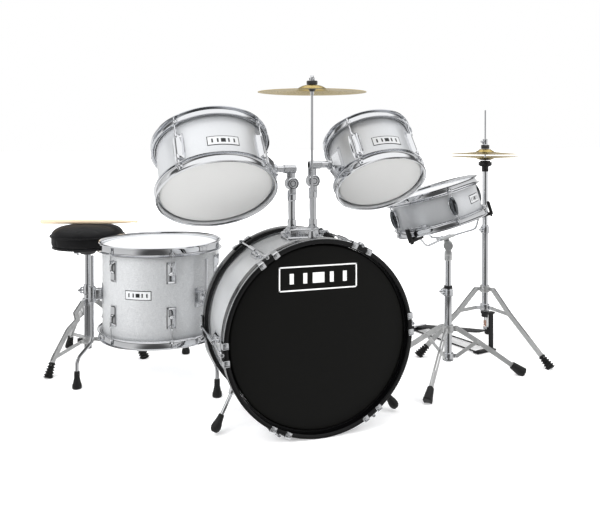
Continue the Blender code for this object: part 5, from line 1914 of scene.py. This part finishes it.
def bass_pedal():
    half = PEDAL_HALF_WIDTH
    heel_end = PEDAL_HEEL.y + 0.014
    shapes = [
        rounded_box(
            (0.07, heel_end - PEDAL_Y + 0.03, 0.0056), (0, (heel_end + PEDAL_Y) / 2 - 0.01, 0.0032), 0.0014
        ),
        rounded_box((2 * half + 0.01, 0.022, 0.0058), (0, PEDAL_Y, 0.0031), 0.0014),
        rounded_box((0.064, 0.016, 0.012), (0, PEDAL_HEEL.y + 0.004, 0.008), 0.003, 3),
        rounded_box((0.04, 0.0455, 0.0076), (0, BASS_DEPTH + 0.016, 0.0166), 0.0014),
        rounded_box((0.04, 0.029, 0.019), (0, BASS_DEPTH + 0.022, 0.0102), 0.002),
    ]
    piece("pedal_base", ROOT, BLACK_STEEL, shapes, IDENTITY, ["pedal_frame"])
    bright = []
    for side in (-1, 1):
        bright.append(
            cylinder(
                0.0044, (side * (half + 0.004), PEDAL_Y, PEDAL_AXLE_Z),
                (side * 0.0107, PEDAL_Y, PEDAL_AXLE_Z), steps=28
            )
        )
        bright.append(
            cylinder(
                0.0062, (side * half, PEDAL_Y, 0.004), (side * half, PEDAL_Y, PEDAL_AXLE_Z + 0.009), 0.005,
                steps=28, edge=0.0015
            )
        )
        bright.append(sleeve(0.005, 0.03, (0.0078, 0.006), steps=28))
        bright[-1] = shifted(bright[-1], side * half, PEDAL_Y, 0)
    bright += wing_bolt((0.018, BASS_DEPTH + 0.03, 0.015), (1, 0, 0.1), 0.016, 0.02, 0.01)
    piece("pedal_posts", ROOT, CHROME, bright)
    rise = PEDAL_TOE - PEDAL_HEEL
    footboard("pedal_board", "pedal_footboard", (-rise.y, rise.z), 0.062, PEDAL_HEEL, -90)
    lean = math.radians(BEATER_LEAN)
    top = Vector((0, math.sin(lean), math.cos(lean))) * BEATER_LENGTH
    across = Vector((0, math.cos(lean), -math.sin(lean)))
    at = Matrix.Translation((0, PEDAL_Y, PEDAL_AXLE_Z))
    steel = [
        cylinder(0.0098, (-0.0088, 0, 0), (0.0088, 0, 0), steps=36, edge=0.001),
        cylinder(0.0029, (0, 0, 0), top * 1.02, steps=24)
    ]
    piece("beater_shaft", "pedal_beater", CHROME, steel, at, ["pedal_beater"])
    head = [cylinder(0.0168, top + across * 0.0178, top - across * 0.0178, 0.016, steps=48, edge=0.0045)]
    piece("beater_felt", "pedal_beater", FELT, head, at)


# ---------------------------------------------------------------- studio


def studio_floor():
    """A pale floor whose glow rises with distance, so that it meets the backdrop without a line."""
    mesh = bpy.data.meshes.new("studio_floor")
    size = FLOOR_SIZE
    corners = [(-size, FLOOR_FRONT, 0), (size, FLOOR_FRONT, 0), (size, size, 0), (-size, size, 0)]
    mesh.from_pydata(corners, [], [(0, 1, 2, 3)])
    floor = bpy.data.objects.new("studio_floor", mesh)
    floor.location.z = -0.0002
    floor.visible_glossy = False
    bpy.context.scene.collection.objects.link(floor)
    made = Nodes("studio_white", (0.9, 0.9, 0.905), 0.8)
    made.shader.inputs["Specular IOR Level"].default_value = 0.05
    made.shader.inputs["Emission Color"].default_value = (1, 1, 1, 1)
    where = made.node("ShaderNodeTexCoord")
    distance = made.node("ShaderNodeVectorMath", operation="LENGTH")
    made.link(where.outputs["Object"], distance.inputs[0])
    made.link(
        made.range(distance.outputs["Value"], 0.3, 1.0, 0.7, 2.4), made.shader.inputs["Emission Strength"]
    )
    mesh.materials.append(made.material)


def studio_world():
    """A white room with a dark side behind the camera, which gives polished metal its dark streaks."""
    world = bpy.data.worlds.new("studio")
    bpy.context.scene.world = world
    world.use_nodes = True
    tree = world.node_tree
    background = tree.nodes["Background"]

    def link(source, target):
        tree.links.new(source, target)

    def smooth(source, *numbers):
        return map_range(tree, source, *numbers, interpolation="SMOOTHSTEP")

    def math_node(operation, first, second, *numbers):
        made = tree.nodes.new("ShaderNodeMath")
        made.operation = operation
        link(first, made.inputs[0])
        if second:
            link(second, made.inputs[1])
        for socket, number in zip(made.inputs[1:], numbers):
            socket.default_value = number
        return made.outputs["Value"]

    where = tree.nodes.new("ShaderNodeTexCoord").outputs["Generated"]
    split = tree.nodes.new("ShaderNodeSeparateXYZ")
    link(where, split.inputs["Vector"])
    front = tree.nodes.new("ShaderNodeVectorMath")
    front.operation = "DOT_PRODUCT"
    front.inputs[1].default_value = ROOM_DARK_SIDE
    link(where, front.inputs[0])
    unlit = smooth(front.outputs["Value"], 0.7, 0.97, 1.0, 0.12)
    lifted = math_node("MULTIPLY_ADD", split.outputs["Z"], None, 0.5, 0.5)
    stops = [(height / 2 + 0.5, (glow, glow, glow)) for height, glow in ROOM_BANDS]
    bands = colour_ramp(tree, lifted, stops)
    ceiling = smooth(split.outputs["Z"], 0.45, 0.7, 0.0, 1.1)
    ground = smooth(split.outputs["Z"], -0.5, -0.7, 0.0, 0.95)
    walls = math_node("MULTIPLY", bands, unlit)
    strength = math_node("MAXIMUM", math_node("MAXIMUM", walls, ceiling), ground)
    mix = tree.nodes.new("ShaderNodeMix")
    mix.data_type = "FLOAT"
    link(tree.nodes.new("ShaderNodeLightPath").outputs["Is Camera Ray"], mix.inputs["Factor"])
    link(strength, mix.inputs["A"])
    mix.inputs["B"].default_value = 1.0
    link(mix.outputs["Result"], background.inputs["Strength"])
    background.inputs["Color"].default_value = (1.0, 1.0, 1.0, 1)


def soft_light(name, location, target, width, height, power):
    light = bpy.data.lights.new(name, "AREA")
    light.shape = "RECTANGLE"
    light.size, light.size_y = width, height
    light.energy = power
    obj = bpy.data.objects.new(name, light)
    obj.location = location
    obj.rotation_euler = (Vector(target) - Vector(location)).to_track_quat("-Z", "Y").to_euler()
    obj.visible_glossy = False
    bpy.context.scene.collection.objects.link(obj)


def studio():
    studio_floor()
    studio_world()
    for light in LIGHTS:
        soft_light(*light)
    bpy.context.scene.view_settings.view_transform = "Standard"
    bpy.context.scene.view_settings.look = "None"


def camera():
    data = bpy.data.cameras.new("camera")
    data.lens = CAMERA_LENS
    data.sensor_width = 36.0
    data.shift_y = CAMERA_SHIFT
    data.clip_start = 0.05
    data.clip_end = 100
    obj = bpy.data.objects.new("camera", data)
    obj.location = CAMERA_PLACE - KIT_CENTRE
    level, drop = math.cos(CAMERA_PITCH), math.sin(CAMERA_PITCH)
    forward = Vector((CAMERA_HEADING[0] * level, CAMERA_HEADING[1] * level, -drop))
    obj.rotation_euler = forward.to_track_quat("-Z", "Y").to_euler()
    bpy.context.scene.collection.objects.link(obj)
    bpy.context.scene.camera = obj


camera()
bass_drum()
for side_word in ("left", "right"):
    tom_holder(side_word)
    rack_tom(side_word)
crash()
floor_tom()
snare_stand()
hihat()
throne()
drumstick()
bass_pedal()
studio()
